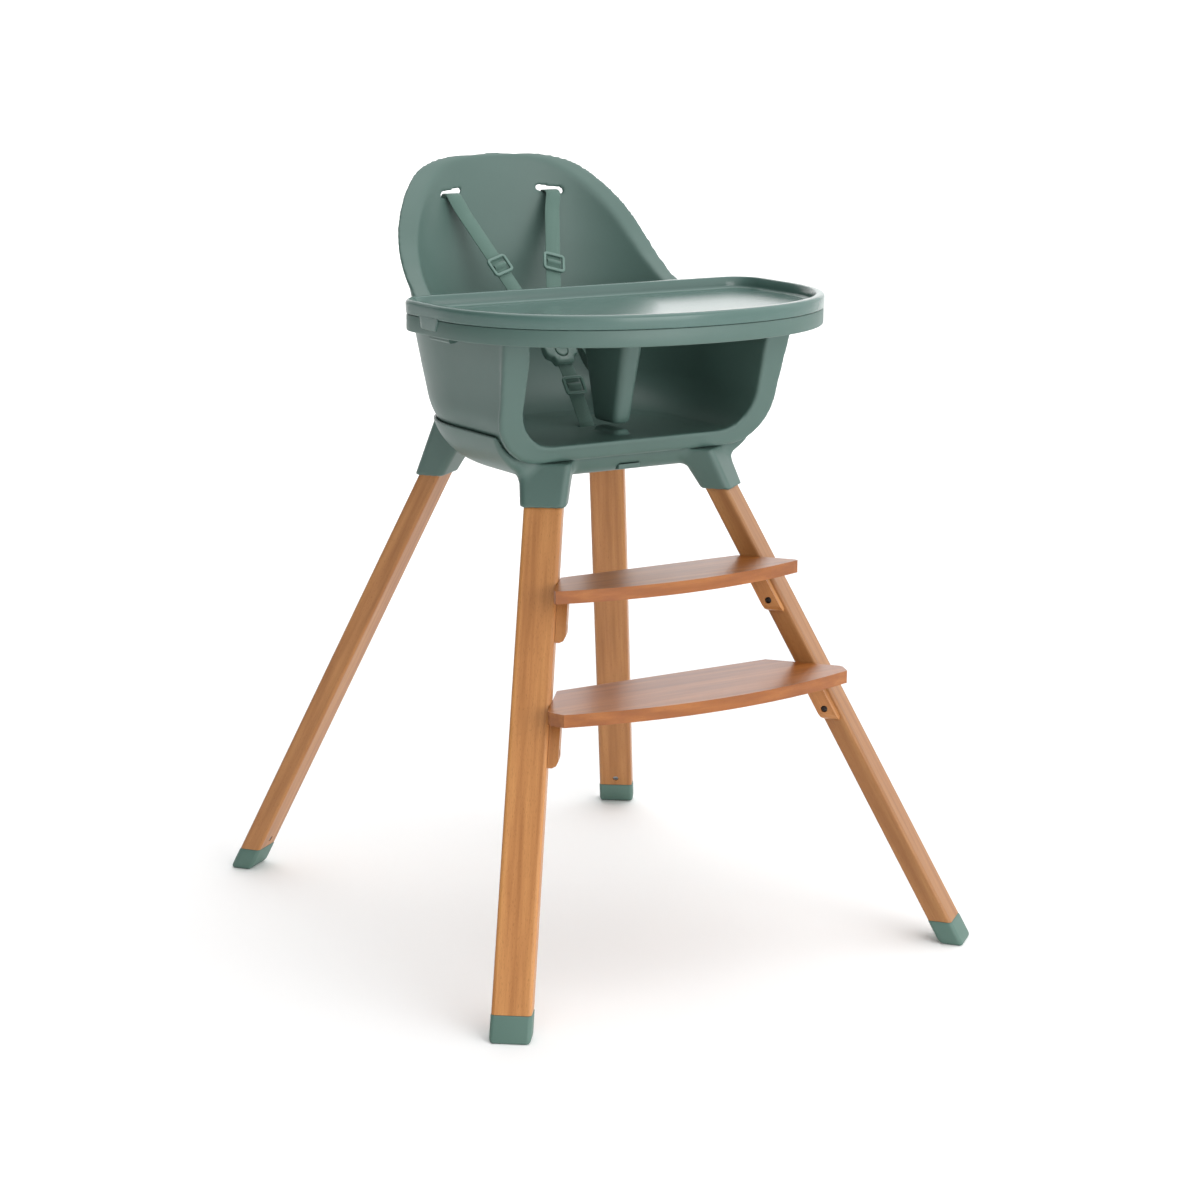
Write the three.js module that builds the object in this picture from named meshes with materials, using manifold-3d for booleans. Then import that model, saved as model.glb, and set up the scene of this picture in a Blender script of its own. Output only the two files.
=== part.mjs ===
// Baby high chair: moulded bucket seat on a leg frame with two steps, a tray and a harness.
// Millimetres, +Z up, chair facing -Y. The origin lies on the floor, midway between the feet.

import * as THREE from 'three';
import { mergeVertices } from 'three/addons/utils/BufferGeometryUtils.js';
import Module from 'manifold-3d';

const wasm = await Module();
wasm.setup();

// ---------------------------------------------------------------- driving dimensions
const GAP = 0.3;                 // between pieces that touch
const FIT = 0.4;                 // between a leg and its socket, a tongue and its slot
const WALL = 3.5;                // moulded wall

const FOOT_FRONT = { x: 312, y: -356 };    // middle of a front foot on the floor
const FOOT_REAR = { x: 286, y: 356 };
const LEG_TOP_FRONT = { x: 94, y: -78 };   // where a leg's axis passes TOP_HEIGHT
const LEG_TOP_REAR = { x: 98, y: 101 };
const TOP_HEIGHT = 624;
const LEG = { wide: 45, thick: 25, round: 4, end: 577 };
const CAP = { height: 28, proud: 0.6, tongue: { wide: 24, thick: 9, tall: 30 } };
const SOCKET = { bottom: 536, wall: 3.8, flare: 7, top: 616 };

const FLOOR = 605;               // top of the seat's floor
const SEAT = {
  halfWidth: 162, flareWidth: 38, corner: 48, backBand: 9,
  backAtFloor: 145, recline: 0.2, backCorner: 82, midY: -20, armTop: 742, lip: 13,
};
const FRAME = { foot: 585, halfWidth: 192, corner: 62, flare: 8, faceY: -120, lean: 0.25, deep: 8, inset: 5 };
const RIM = [                    // side view of the rim, y and z, from the arm to the top of the back
  [-170, 742], [5, 742], [33, 747], [62, 757], [86, 771.5], [111, 792], [134, 819], [157, 854],
  [176, 880], [189, 896], [199, 909], [207, 916], [214, 918.5], [240, 918.5],
];
const CHASSIS = {
  bottom: 563, lip: 619, corner: 75, front: -108.5, wall: 3.5, clear: 0.8, pads: { x: 70, y: 60 },
};
const LEVER = { wide: 30, high: 5, z: 567.5, out: -107, in: -52 };

const TRAY = {
  halfWidth: 250, back: 14, front: -284, roundY: -80, backCorner: 42, power: 2.2,
  skirtFoot: 735, seam: 754.5, crest: 771, wall: 3, floor: 747.5,
};
const INSERT = { floor: 757, sheet: 2.5, rimWide: 15, tabFrom: -92, tabTo: -50, tabDrop: 13 };
const POST = { y: -67, top: { wide: 31, deep: 108 }, foot: { wide: 24, deep: 52 }, bottom: 618, round: 8 };
const PAD = { wide: 20, deep: 50, high: 6 };      // on the seat's floor, under the post's foot
const LATCH = { y: -38, long: 46, thick: 9, foot: 723, travel: 4 };

const STEPS = {
  upper: { top: 458, halfLength: 168, back: -154, front: -241, cleat: 48 },
  lower: { top: 333, halfLength: 204, back: -183, front: -308, cleat: 50 },
};
const STEP_THICK = 15;
const CLEAT = { thick: 12, wide: 19, round: 7 };

const STRAP = { wide: 20, thick: 1.6 };
const SLOT = { x: 71, z: 871, wide: 34, high: 6.5 };
const BUCKLE = { y: 50, z: 686, wide: 44, high: 34, thick: 11, tilt: 42 };
const LAP_SLOT = { x: 104, z: 642, wide: 26, high: 5 };
const CROTCH_SLOT = { y: -12, wide: 26, long: 6 };

const PLASTIC = { color: 0x6b8a80, roughness: 0.45, metalness: 0 };
const BEECH = { color: 0xc08e5c, roughness: 0.4, metalness: 0 };
const WEBBING = { color: 0x6f9084, roughness: 0.9, metalness: 0 };
const STEEL = { color: 0x8a8c8e, roughness: 0.35, metalness: 1 };

const chair = new THREE.Group();

// ---------------------------------------------------------------- solids
function solid(geometry) {
  const bare = geometry.index ? geometry.toNonIndexed() : geometry.clone();
  bare.deleteAttribute('normal');
  bare.deleteAttribute('uv');
  const merged = mergeVertices(bare, 1e-3);
  return new wasm.Manifold(new wasm.Mesh({
    numProp: 3,
    vertProperties: new Float32Array(merged.attributes.position.array),
    triVerts: new Uint32Array(merged.index.array),
  }));
}

function geometryOf(manifold) {
  const mesh = manifold.getMesh();
  const geometry = new THREE.BufferGeometry();
  const points = new Float32Array(mesh.numVert * 3);
  for (let i = 0; i < mesh.numVert; i += 1) {
    for (let k = 0; k < 3; k += 1) points[3 * i + k] = mesh.vertProperties[mesh.numProp * i + k];
  }
  geometry.setAttribute('position', new THREE.BufferAttribute(points, 3));
  geometry.setIndex(new THREE.BufferAttribute(new Uint32Array(mesh.triVerts), 1));
  geometry.computeVertexNormals();
  return geometry;
}

function add(name, shape, look) {
  const geometry = shape.isBufferGeometry ? shape : geometryOf(shape);
  const mesh = new THREE.Mesh(geometry, new THREE.MeshStandardMaterial(look));
  mesh.name = name;
  chair.add(mesh);
  return mesh;
}

// A closed solid through rings of equal count, each a list of Vector3, counter-clockwise from above.
function loft(rings) {
  const count = rings[0].length;
  const points = rings.flat();
  const index = [];
  for (let r = 0; r + 1 < rings.length; r += 1) {
    for (let i = 0; i < count; i += 1) {
      const j = (i + 1) % count;
      const [a, b, c, d] = [r * count + i, r * count + j, (r + 1) * count + i, (r + 1) * count + j];
      index.push(a, b, d, a, d, c);
    }
  }
  const cap = (start, flip) => {
    const flat = points.slice(start, start + count).map((p) => new THREE.Vector2(p.x, p.y));
    for (const [a, b, c] of THREE.ShapeUtils.triangulateShape(flat, [])) {
      if (flip) index.push(start + a, start + c, start + b);
      else index.push(start + a, start + b, start + c);
    }
  };
  cap(0, true);
  cap((rings.length - 1) * count, false);
  const geometry = new THREE.BufferGeometry();
  const numbers = points.flatMap((p) => [p.x, p.y, p.z]);
  geometry.setAttribute('position', new THREE.Float32BufferAttribute(numbers, 3));
  geometry.setIndex(index);
  return solid(geometry);
}

function roundedRect(wide, high, radius, steps = 3) {
  const shape = new THREE.Shape();
  const r = Math.min(radius, wide / 2 - 0.05, high / 2 - 0.05);
  for (const [cx, cy, start] of [[1, 1, 0], [-1, 1, 1], [-1, -1, 2], [1, -1, 3]]) {
    for (let i = 0; i <= steps; i += 1) {
      const angle = (start + i / steps) * Math.PI / 2;
      const x = cx * (wide / 2 - r) + r * Math.cos(angle);
      const y = cy * (high / 2 - r) + r * Math.sin(angle);
      if (start === 0 && i === 0) shape.moveTo(x, y);
      else shape.lineTo(x, y);
    }
  }
  return shape;
}

function prism(shape, depth) {
  return solid(new THREE.ExtrudeGeometry(shape, { depth, bevelEnabled: false, curveSegments: 8 }));
}
const block = (x0, x1, y0, y1, z0, z1) => {
  const box = new THREE.BoxGeometry(x1 - x0, y1 - y0, z1 - z0);
  box.translate((x0 + x1) / 2, (y0 + y1) / 2, (z0 + z1) / 2);
  return solid(box);
};
const placed = (manifold, matrix) => manifold.transform(matrix.toArray());
const moved = (manifold, x, y, z) => placed(manifold, new THREE.Matrix4().makeTranslation(x, y, z));
const mirrored = (manifold) => placed(manifold, new THREE.Matrix4().makeScale(-1, 1, 1));
const union = (list) => list.reduce((sum, item) => sum.add(item));
const rightHanded = (x, y, z, origin) => new THREE.Matrix4().makeBasis(x, y, z).setPosition(origin);

// A profile drawn in the YZ plane and run along X from x0 to x1.
function alongX(outline, x0, x1) {
  const bar = prism(new THREE.Shape(outline.map(([y, z]) => new THREE.Vector2(y, z))), x1 - x0);
  const axes = rightHanded(
    new THREE.Vector3(0, 1, 0), new THREE.Vector3(0, 0, 1), new THREE.Vector3(1, 0, 0),
    new THREE.Vector3(x0, 0, 0));
  return placed(bar, axes);
}

const smooth = (t) => {
  const s = Math.min(1, Math.max(0, t));
  return s * s * (3 - 2 * s);
};

// ---------------------------------------------------------------- legs
// Axis, and the frame across it: "wide" runs along the broad face, "out" away from the middle.
function legFrame(foot, top, sideX) {
  const a = new THREE.Vector3(sideX * foot.x, foot.y, 0);
  const b = new THREE.Vector3(sideX * top.x, top.y, TOP_HEIGHT);
  const axis = b.clone().sub(a).normalize();
  const out = new THREE.Vector3(a.x - b.x, a.y - b.y, 0).normalize();
  out.addScaledVector(axis, -out.dot(axis)).normalize();
  const wide = new THREE.Vector3().crossVectors(out, axis).normalize();
  const at = (z) => a.clone().lerp(b, z / TOP_HEIGHT);
  return { axis, out, wide, at };
}

// Section run along a leg's axis between two heights, its ends level with the floor.
function alongLeg(frame, wide, thick, round, z0, z1, growth = 0) {
  const section = roundedRect(wide, thick, round).getPoints();
  section.pop();
  const ring = (z, grow) => {
    const middle = frame.at(z);
    return section.map((p) => {
      const shift = frame.wide.clone().multiplyScalar(p.x * (1 + grow * 2 / wide))
        .addScaledVector(frame.out, p.y * (1 + grow * 2 / thick));
      const point = middle.clone().add(shift);
      return point.addScaledVector(frame.axis, (z - point.z) / frame.axis.z);
    });
  };
  return loft([ring(z0, 0), ring(z1, growth)]);
}

// A screw with its head's top at the origin, pointing along +Z.
function screw(headRadius, shankRadius, length) {
  const profile = [
    [0, 0.9], [headRadius * 0.35, 0.9], [headRadius * 0.42, 0], [headRadius, 0.5], [headRadius, 1.9],
    [shankRadius, 2.9], [shankRadius, length - 2.5], [0, length],
  ].map(([r, z]) => new THREE.Vector2(r, z));
  const turned = new THREE.LatheGeometry(profile, 8);
  turned.rotateX(Math.PI / 2);
  const body = solid(turned);
  return body.volume() < 0 ? mirrored(body) : body;
}

const along = (manifold, origin, direction) => {
  const heading = direction.clone().normalize();
  const turn = new THREE.Quaternion().setFromUnitVectors(new THREE.Vector3(0, 0, 1), heading);
  return placed(manifold, new THREE.Matrix4().compose(origin, turn, new THREE.Vector3(1, 1, 1)));
};

const CORNERS = [
  { name: 'front_left', side: -1, foot: FOOT_FRONT, top: LEG_TOP_FRONT },
  { name: 'front_right', side: 1, foot: FOOT_FRONT, top: LEG_TOP_FRONT },
  { name: 'rear_left', side: -1, foot: FOOT_REAR, top: LEG_TOP_REAR },
  { name: 'rear_right', side: 1, foot: FOOT_REAR, top: LEG_TOP_REAR },
].map((corner) => ({ ...corner, frame: legFrame(corner.foot, corner.top, corner.side) }));

const FOOT_SCREW = { head: 3.6, shank: 1.6, height: 44, length: 15 };
const LEG_SCREW = { head: 4.5, shank: 2.2, height: 562, length: 20 };

// ---------------------------------------------------------------- seat shell
const floorRound = (z, bottom, radius) => {
  const up = Math.min(radius, Math.max(0, z - bottom));
  return radius - Math.sqrt(Math.max(0, radius * radius - (radius - up) * (radius - up)));
};

// Half width and back of the bucket's inside at a height.
function bucket(z, grow = 0) {
  const bottom = FLOOR - grow;
  const wide = SEAT.halfWidth + SEAT.flareWidth * smooth((z - 700) / 142) + grow;
  const back = SEAT.backAtFloor + SEAT.recline * (z - FLOOR) + grow;
  return {
    x: wide - floorRound(z, bottom, SEAT.corner + grow),
    y: back - floorRound(z, bottom, SEAT.backCorner + grow),
    power: 2.4,
  };
}

// Half width and back of the skin outside it.
function skin(z, grow = 0) {
  const bottom = FRAME.foot - grow;
  const rise = smooth((z - 640) / 110);
  const low = FRAME.halfWidth - FRAME.inset + 13 * rise;
  const high = SEAT.halfWidth + SEAT.flareWidth * smooth((z - 700) / 142) + 20;
  const wide = Math.max(low, high) + grow;
  const thickBack = WALL + 0.6 + (SEAT.backBand - WALL - 0.6) * smooth((z - 745) / 30);
  const back = Math.min(SEAT.backAtFloor + SEAT.recline * (z - FLOOR) + thickBack, 212.5) + grow;
  return {
    x: wide - floorRound(z, bottom, FRAME.corner + grow),
    y: back - floorRound(z, bottom, SEAT.backCorner + 18 + grow),
    power: 2.6,
  };
}

// Plan outline at a height: straight sides to the front, a rounded back.
function planRing(size, frontY, z, steps = 20) {
  const ring = [new THREE.Vector3(size.x, frontY, z)];
  const deep = size.y - SEAT.midY;
  for (let i = 0; i <= steps; i += 1) {
    const angle = Math.PI * i / steps;
    const c = Math.cos(angle);
    const s = Math.sin(angle);
    const x = Math.sign(c) * Math.abs(c) ** (2 / size.power) * size.x;
    const y = SEAT.midY + Math.abs(s) ** (2 / size.power) * deep;
    ring.push(new THREE.Vector3(Math.abs(x) < 1e-6 ? 0 : x, y, z));
  }
  ring.push(new THREE.Vector3(-size.x, frontY, z));
  return ring;
}

const LEVELS = [0, 3, 9, 19, 34, 55, 95, 125, 142, 162, 190, 225, 265, 330];
const bucketSolid = (grow, frontY) => loft(
  LEVELS.map((up) => FLOOR - grow + up).map((z) => planRing(bucket(z, grow), frontY, z)));
const skinSolid = (grow, frontY) => loft(
  LEVELS.map((up) => FRAME.foot - grow + up * 1.06).map((z) => planRing(skin(z, grow), frontY, z)));

// Everything under the rim, lowered along its normal by "down".
function underRim(down, foot = 500) {
  const slide = down * 0.75;
  const line = RIM.map(([y, z]) => [y + slide, z - slide]);
  line[0][0] = -400;
  const top = line[line.length - 1][1];
  return alongX([[-400, foot], [300, foot], [300, top], ...line.slice(0, -1).reverse()], -300, 300);
}

// Plane of the front frame's face: everything behind it, moved back by "back".
const faceY = (z) => FRAME.faceY - FRAME.lean * (z - 590);
const behindFace = (back) => alongX(
  [[faceY(500) + back, 500], [300, 500], [300, 960], [faceY(960) + back, 960]], -320, 320);

// U-shaped outline in the frame's plane, x against height.
function frameOutline(half, foot, radius, flare, top) {
  const points = [];
  for (let i = 0; i <= 6; i += 1) {
    const angle = -Math.PI / 2 + (i / 6) * Math.PI / 2;
    points.push([half - radius + radius * Math.cos(angle), foot + radius + radius * Math.sin(angle)]);
  }
  points.push([half + flare, top]);
  return [...points, ...points.map(([x, z]) => [-x, z]).reverse()];
}

function frameBand(half, foot, radius, flare, top, front, back) {
  const outline = frameOutline(half, foot, radius, flare, top);
  const slab = prism(new THREE.Shape(outline.map(([x, z]) => new THREE.Vector2(x, z))), back - front);
  // shear: local x, height, depth -> world with the lean of the face
  const shear = new THREE.Matrix4().set(
    1, 0, 0, 0,
    0, -FRAME.lean, -1, FRAME.faceY + FRAME.lean * 590 + back,
    0, 1, 0, 0,
    0, 0, 0, 1);
  return placed(slab, shear);
}

// Back of a plan outline at a given x.
const backAt = (size, x) => SEAT.midY
  + (1 - Math.min(1, Math.abs(x) / size.x) ** size.power) ** (1 / size.power) * (size.y - SEAT.midY);

// Axes at the right lap slot: along the wall, up, and inwards; its origin lies "out" outside the wall.
function lapFrame(out) {
  const size = bucket(LAP_SLOT.z);
  const run = new THREE.Vector3(2, backAt(size, LAP_SLOT.x + 1) - backAt(size, LAP_SLOT.x - 1), 0).normalize();
  const inward = new THREE.Vector3(run.y, -run.x, 0);
  const at = new THREE.Vector3(LAP_SLOT.x, backAt(size, LAP_SLOT.x), LAP_SLOT.z).addScaledVector(inward, -out);
  return rightHanded(run, new THREE.Vector3(0, 0, 1), inward, at);
}

const SKIRT_RISE = 12;         // the skin's lower edge, below the floor

function seatShell() {
  const level = SEAT.armTop + 6;
  const inside = bucketSolid(0, -260);
  const lining = bucketSolid(WALL, -260);
  const outer = skinSolid(0, -260).intersect(underRim(0)).intersect(behindFace(2));
  const cavity = skinSolid(-WALL, -260).intersect(behindFace(FRAME.deep));
  const above = block(-320, 320, -300, 320, level, 960);
  const below = block(-320, 320, -300, 320, 500, level - WALL);
  const openBack = block(-320, 320, -60, 320, level, 960).intersect(underRim(SEAT.lip));
  const lowCavity = cavity.intersect(underRim(WALL + 1)).intersect(below).subtract(lining);
  const highCavity = cavity.intersect(underRim(WALL + 1)).intersect(above).subtract(lining);
  let shell = outer.subtract(lowCavity).subtract(highCavity).subtract(openBack.subtract(lining));
  // the skin stops a little above the chassis floor
  shell = shell.subtract(block(-320, 320, -400, 320, 500, FLOOR - SKIRT_RISE).subtract(lining));
  const bandOuter = frameBand(FRAME.halfWidth, FRAME.foot, FRAME.corner, FRAME.flare, SEAT.armTop, 0, FRAME.deep);
  shell = shell.add(bandOuter).subtract(inside);
  // harness slots in the back, the sides of the seat and the floor
  for (const side of [-1, 1]) {
    const tilt = new THREE.Matrix4().makeRotationY(side * 0.14).setPosition(side * SLOT.x, 0, SLOT.z);
    const cut = prism(roundedRect(SLOT.wide, SLOT.high, 2.4, 2), 160);
    const upright = new THREE.Matrix4().makeRotationX(Math.PI / 2);
    tilt.multiply(new THREE.Matrix4().makeTranslation(0, 280, 0));
    shell = shell.subtract(placed(placed(cut, upright), tilt));
    const lap = placed(prism(roundedRect(LAP_SLOT.wide, LAP_SLOT.high, 2.4, 2), 20), lapFrame(10));
    shell = shell.subtract(side > 0 ? lap : mirrored(lap));
  }
  const crotchHole = roundedRect(CROTCH_SLOT.wide, CROTCH_SLOT.long, 2.4, 2);
  const crotch = moved(prism(crotchHole, 40), 0, CROTCH_SLOT.y, FLOOR - 30);
  const pad = prism(roundedRect(PAD.wide, PAD.deep, 6, 3), PAD.high + 1);
  return shell.subtract(crotch).add(moved(pad, 0, POST.y, FLOOR - 1));
}

// ---------------------------------------------------------------- chassis under the seat
// Its lip follows the seat's skin, one clearance and one wall outside it.
function chassisSize(z, grow) {
  const round = (height) => floorRound(height, CHASSIS.bottom - grow, CHASSIS.corner + grow);
  const lip = skin(CHASSIS.lip, CHASSIS.clear + CHASSIS.wall + grow);
  return { x: lip.x + round(CHASSIS.lip) - round(z), y: lip.y + round(CHASSIS.lip) - round(z), power: 2.6 };
}

function chassisBowl(grow, top) {
  const levels = [0, 2, 6, 13, 23, 37].map((up) => CHASSIS.bottom - grow + up);
  const front = (z) => CHASSIS.front - grow + 0.5 * floorRound(z, CHASSIS.bottom - grow, CHASSIS.corner * 0.4);
  return loft([...levels, top].map((z) => planRing(chassisSize(z, grow), front(z), z, 16)));
}

function socketSolid(frame, top, growth) {
  const margin = 2 * (FIT + SOCKET.wall);
  const round = LEG.round + SOCKET.wall;
  return alongLeg(frame, LEG.wide + margin, LEG.thick + margin, round, SOCKET.bottom, top, growth);
}

function seatChassis() {
  const hollow = chassisBowl(-CHASSIS.wall, CHASSIS.lip + 1);
  const { x, y } = CHASSIS.pads;
  const padTop = FLOOR - WALL - GAP;
  const pads = [
    block(-x - 2, -x + 2, -y - 6, y + 6, CHASSIS.bottom + 1, padTop),
    block(x - 2, x + 2, -y - 6, y + 6, CHASSIS.bottom + 1, padTop),
    block(-x, x, y - 2, y + 2, CHASSIS.bottom + 1, padTop),
  ];
  let body = chassisBowl(0, CHASSIS.lip).subtract(hollow).add(union(pads));
  for (const { frame } of CORNERS) {
    const outerPart = socketSolid(frame, SOCKET.top, SOCKET.flare).subtract(hollow);
    body = body.add(outerPart).add(socketSolid(frame, LEG.end + FIT + SOCKET.wall, 0));
  }
  // room for the seat, which stands in the bowl
  const seatRoom = skinSolid(CHASSIS.clear, -260).intersect(behindFace(-CHASSIS.clear))
    .intersect(block(-300, 300, -300, 300, FLOOR - SKIRT_RISE - CHASSIS.clear, 900));
  const frameRoom = frameBand(FRAME.halfWidth + CHASSIS.clear, FRAME.foot - CHASSIS.clear,
    FRAME.corner + CHASSIS.clear, FRAME.flare, SEAT.armTop, -CHASSIS.clear, FRAME.deep + CHASSIS.clear);
  const padZone = block(-x - 8, x + 8, -y - 12, y + 12, 500, padTop);
  body = body.subtract(seatRoom.add(frameRoom).subtract(padZone));
  for (const { frame } of CORNERS) {
    body = body.subtract(alongLeg(frame, LEG.wide + 2 * FIT, LEG.thick + 2 * FIT, LEG.round + FIT,
      SOCKET.bottom - 8, LEG.end + FIT));
    body = body.subtract(legScrewRoom(frame));
  }
  // slit in the front wall for the release lever
  const half = LEVER.wide / 2 + FIT;
  const slit = block(-half, half, -130, -70, LEVER.z - FIT, LEVER.z + LEVER.high + FIT);
  return body.subtract(slit);
}

// ---------------------------------------------------------------- screws in the legs
const round = (radius, length) => prism(new THREE.Shape().absarc(0, 0, radius, 0, 2 * Math.PI, false), length);

// A screw's hole: head recess behind the start, shank hole ahead of it.
function screwRoom(size, start, direction) {
  const mouth = start.clone().addScaledVector(direction, -10.3);
  const recess = along(round(size.head + FIT, 14), mouth, direction);
  const hole = along(round(size.shank + FIT, size.length + 2), start, direction);
  return recess.add(hole);
}

const legScrewStart = (frame) => frame.at(LEG_SCREW.height)
  .addScaledVector(frame.out, -(LEG.thick / 2 + FIT + SOCKET.wall) + 1);
const legScrewRoom = (frame) => screwRoom(LEG_SCREW, legScrewStart(frame), frame.out);

const footScrewStart = (frame) => frame.at(FOOT_SCREW.height).addScaledVector(frame.out, -LEG.thick / 2 + 0.4);
const footScrewRoom = (frame) => screwRoom(FOOT_SCREW, footScrewStart(frame), frame.out);

// ---------------------------------------------------------------- foot caps
const tongueOf = (frame, grow) => alongLeg(frame, CAP.tongue.wide + 2 * grow, CAP.tongue.thick + 2 * grow, 2,
  CAP.height - 4, CAP.height + CAP.tongue.tall + grow);

function footCap(frame) {
  const section = [LEG.wide + 2 * CAP.proud, LEG.thick + 2 * CAP.proud, LEG.round];
  const cap = alongLeg(frame, section[0] - 3, section[1] - 3, section[2], 0, 2.4, 1.5)
    .add(alongLeg(frame, ...section, 2.4, CAP.height - GAP));
  return cap.add(tongueOf(frame, 0)).subtract(footScrewRoom(frame));
}

// ---------------------------------------------------------------- steps and their cleats
const stepSide = (corner) => corner.frame.wide.clone().multiplyScalar(corner.side);
const FRONT = CORNERS.filter((corner) => corner.foot === FOOT_FRONT);

function stepBoard(step) {
  const [corner] = FRONT.filter(({ side }) => side > 0);
  const toStep = stepSide(corner);
  const offset = corner.frame.at(step.top).dot(toStep) + LEG.wide / 2 + GAP;
  const xOnFace = (y) => (offset - toStep.y * y) / toStep.x;
  const yOnFace = (x) => (offset - toStep.x * x) / toStep.y;
  const end = step.halfLength;
  const endY = yOnFace(end);
  const side = [[xOnFace(step.back), step.back], [end, endY], [end + 0.5, endY - 5]];
  const edge = end - 7;
  const drop = 0.15 * edge;
  for (let i = 0; i < 8; i += 1) {
    const x = edge * (1 - i / 8);
    side.push([x, step.front + drop * (x / edge) ** 2]);
  }
  const outline = [...side, [0, step.front], ...side.slice(3).reverse().map(([x, y]) => [-x, y]),
    ...side.slice(0, 3).reverse().map(([x, y]) => [-x, y])];
  const corners = outline.reverse().map(([x, y]) => new THREE.Vector2(x, y));
  const board = prism(new THREE.Shape(corners), STEP_THICK);
  return moved(board, 0, 0, step.top - STEP_THICK);
}

// A cleat on the leg's inner edge, parallel to the leg, its top under the board.
function cleatRing(corner, z, from, to, wide) {
  const { frame } = corner;
  const toStep = stepSide(corner);
  const middle = frame.at(z);
  return [[from, -wide / 2], [to, -wide / 2], [to, wide / 2], [from, wide / 2]].map(([s, o]) => {
    const point = middle.clone().addScaledVector(toStep, s).addScaledVector(frame.out, o - 1.5);
    return point.addScaledVector(frame.axis, (z - point.z) / frame.axis.z);
  });
}

function cleat(corner, step) {
  const top = step.top - STEP_THICK - GAP;
  const near = LEG.wide / 2 + GAP;
  const far = near + CLEAT.thick;
  const turn = (ring) => (corner.side < 0 ? ring.reverse() : ring);
  const rings = [
    cleatRing(corner, top - step.cleat, near, far - CLEAT.round, CLEAT.wide - 3),
    cleatRing(corner, top - step.cleat + 2.5, near, far - CLEAT.round / 3, CLEAT.wide),
    cleatRing(corner, top - step.cleat + CLEAT.round, near, far, CLEAT.wide),
    cleatRing(corner, top, near, far, CLEAT.wide),
  ].map(turn);
  return loft(rings).subtract(cleatScrewRoom(corner, step));
}

const CLEAT_SCREW = { head: 3.8, shank: 1.9, length: 24 };
function cleatScrewStart(corner, step) {
  const height = step.top - STEP_THICK - step.cleat + 14;
  return corner.frame.at(height).addScaledVector(corner.frame.out, -1.5)
    .addScaledVector(stepSide(corner), LEG.wide / 2 + GAP + CLEAT.thick - 0.6);
}
const cleatScrewRoom = (corner, step) => screwRoom(
  CLEAT_SCREW, cleatScrewStart(corner, step), stepSide(corner).negate());

function leg(corner) {
  let body = alongLeg(corner.frame, LEG.wide, LEG.thick, LEG.round, CAP.height, LEG.end);
  body = body.subtract(tongueOf(corner.frame, FIT));
  body = body.subtract(legScrewRoom(corner.frame)).subtract(footScrewRoom(corner.frame));
  if (FRONT.includes(corner)) {
    for (const step of Object.values(STEPS)) body = body.subtract(cleatScrewRoom(corner, step));
  }
  return body;
}

// ---------------------------------------------------------------- tray
function trayRing(inset, z) {
  const wide = TRAY.halfWidth - inset;
  const back = TRAY.back - inset;
  const front = TRAY.front + inset;
  const corner = Math.max(TRAY.backCorner - inset, 4);
  const ring = [];
  for (let i = 0; i <= 22; i += 1) {
    const angle = -Math.PI + (Math.PI * i) / 22;
    const c = Math.cos(angle);
    const s = Math.sin(angle);
    ring.push(new THREE.Vector3(
      Math.sign(c) * Math.abs(c) ** (2 / TRAY.power) * wide,
      TRAY.roundY - Math.abs(s) ** (2 / TRAY.power) * (TRAY.roundY - front), z));
  }
  for (const side of [1, -1]) {
    for (let i = 0; i <= 4; i += 1) {
      const turn = (Math.PI / 2) * (side > 0 ? i / 4 : 1 - i / 4);
      ring.push(new THREE.Vector3(
        side * (wide - corner + corner * Math.cos(turn)), back - corner + corner * Math.sin(turn), z));
    }
  }
  return ring;
}

const trayBlock = (stations) => loft(stations.map(([inset, z]) => trayRing(inset, z)));

// Places where the insert's grip tabs hang over the skirt.
const tabZone = (side, from, to, grow, z0, z1) => {
  const inner = TRAY.halfWidth - from;
  const outer = TRAY.halfWidth + to;
  const [a, b] = side > 0 ? [inner, outer] : [-outer, -inner];
  return block(a, b, INSERT.tabFrom - grow, INSERT.tabTo + grow, z0, z1);
};

const ARM_OUT = () => skin(SEAT.armTop - 4).x;

function trayBase() {
  const { wall, floor, skirtFoot, seam } = TRAY;
  let body = trayBlock([[2, skirtFoot], [1.2, skirtFoot + 2], [1.2, seam - GAP]]);
  body = body.subtract(trayBlock([[1.2 + wall, skirtFoot - 1], [1.2 + wall, floor]]));
  body = body.subtract(trayBlock([[1.2 + wall, floor + wall], [1.2 + wall, seam + 1]]));
  // the back of the skirt clears the arms
  const arms = ARM_OUT() + 5;
  body = body.subtract(block(-arms, arms, TRAY.back - 12, TRAY.back + 5, skirtFoot - 1, SEAT.armTop + 3));
  for (const side of [-1, 1]) {
    // runners outside the arm and a rest on top of it
    const outer = side * (ARM_OUT() + 3.5);
    const rest = side * 186;
    body = body.add(block(outer - 1.5, outer + 1.5, -150, -4, SEAT.armTop - 3, floor + 1));
    body = body.add(block(rest - 2, rest + 2, -128, -10, SEAT.armTop + GAP, floor + 1));
    body = body.subtract(tabZone(side, 1.2 + 1.7, 5, FIT, seam - INSERT.tabDrop - FIT, seam + 2));
    body = body.add(tabZone(side, 1.2 + wall + 2, -(1.2 + 1.7), 3, seam - INSERT.tabDrop - 3, seam - GAP));
    body = body.subtract(latchRoom(side));
  }
  for (const y of POST_SCREW_YS) body = body.subtract(postScrewRoom(y));
  return body;
}

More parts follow.
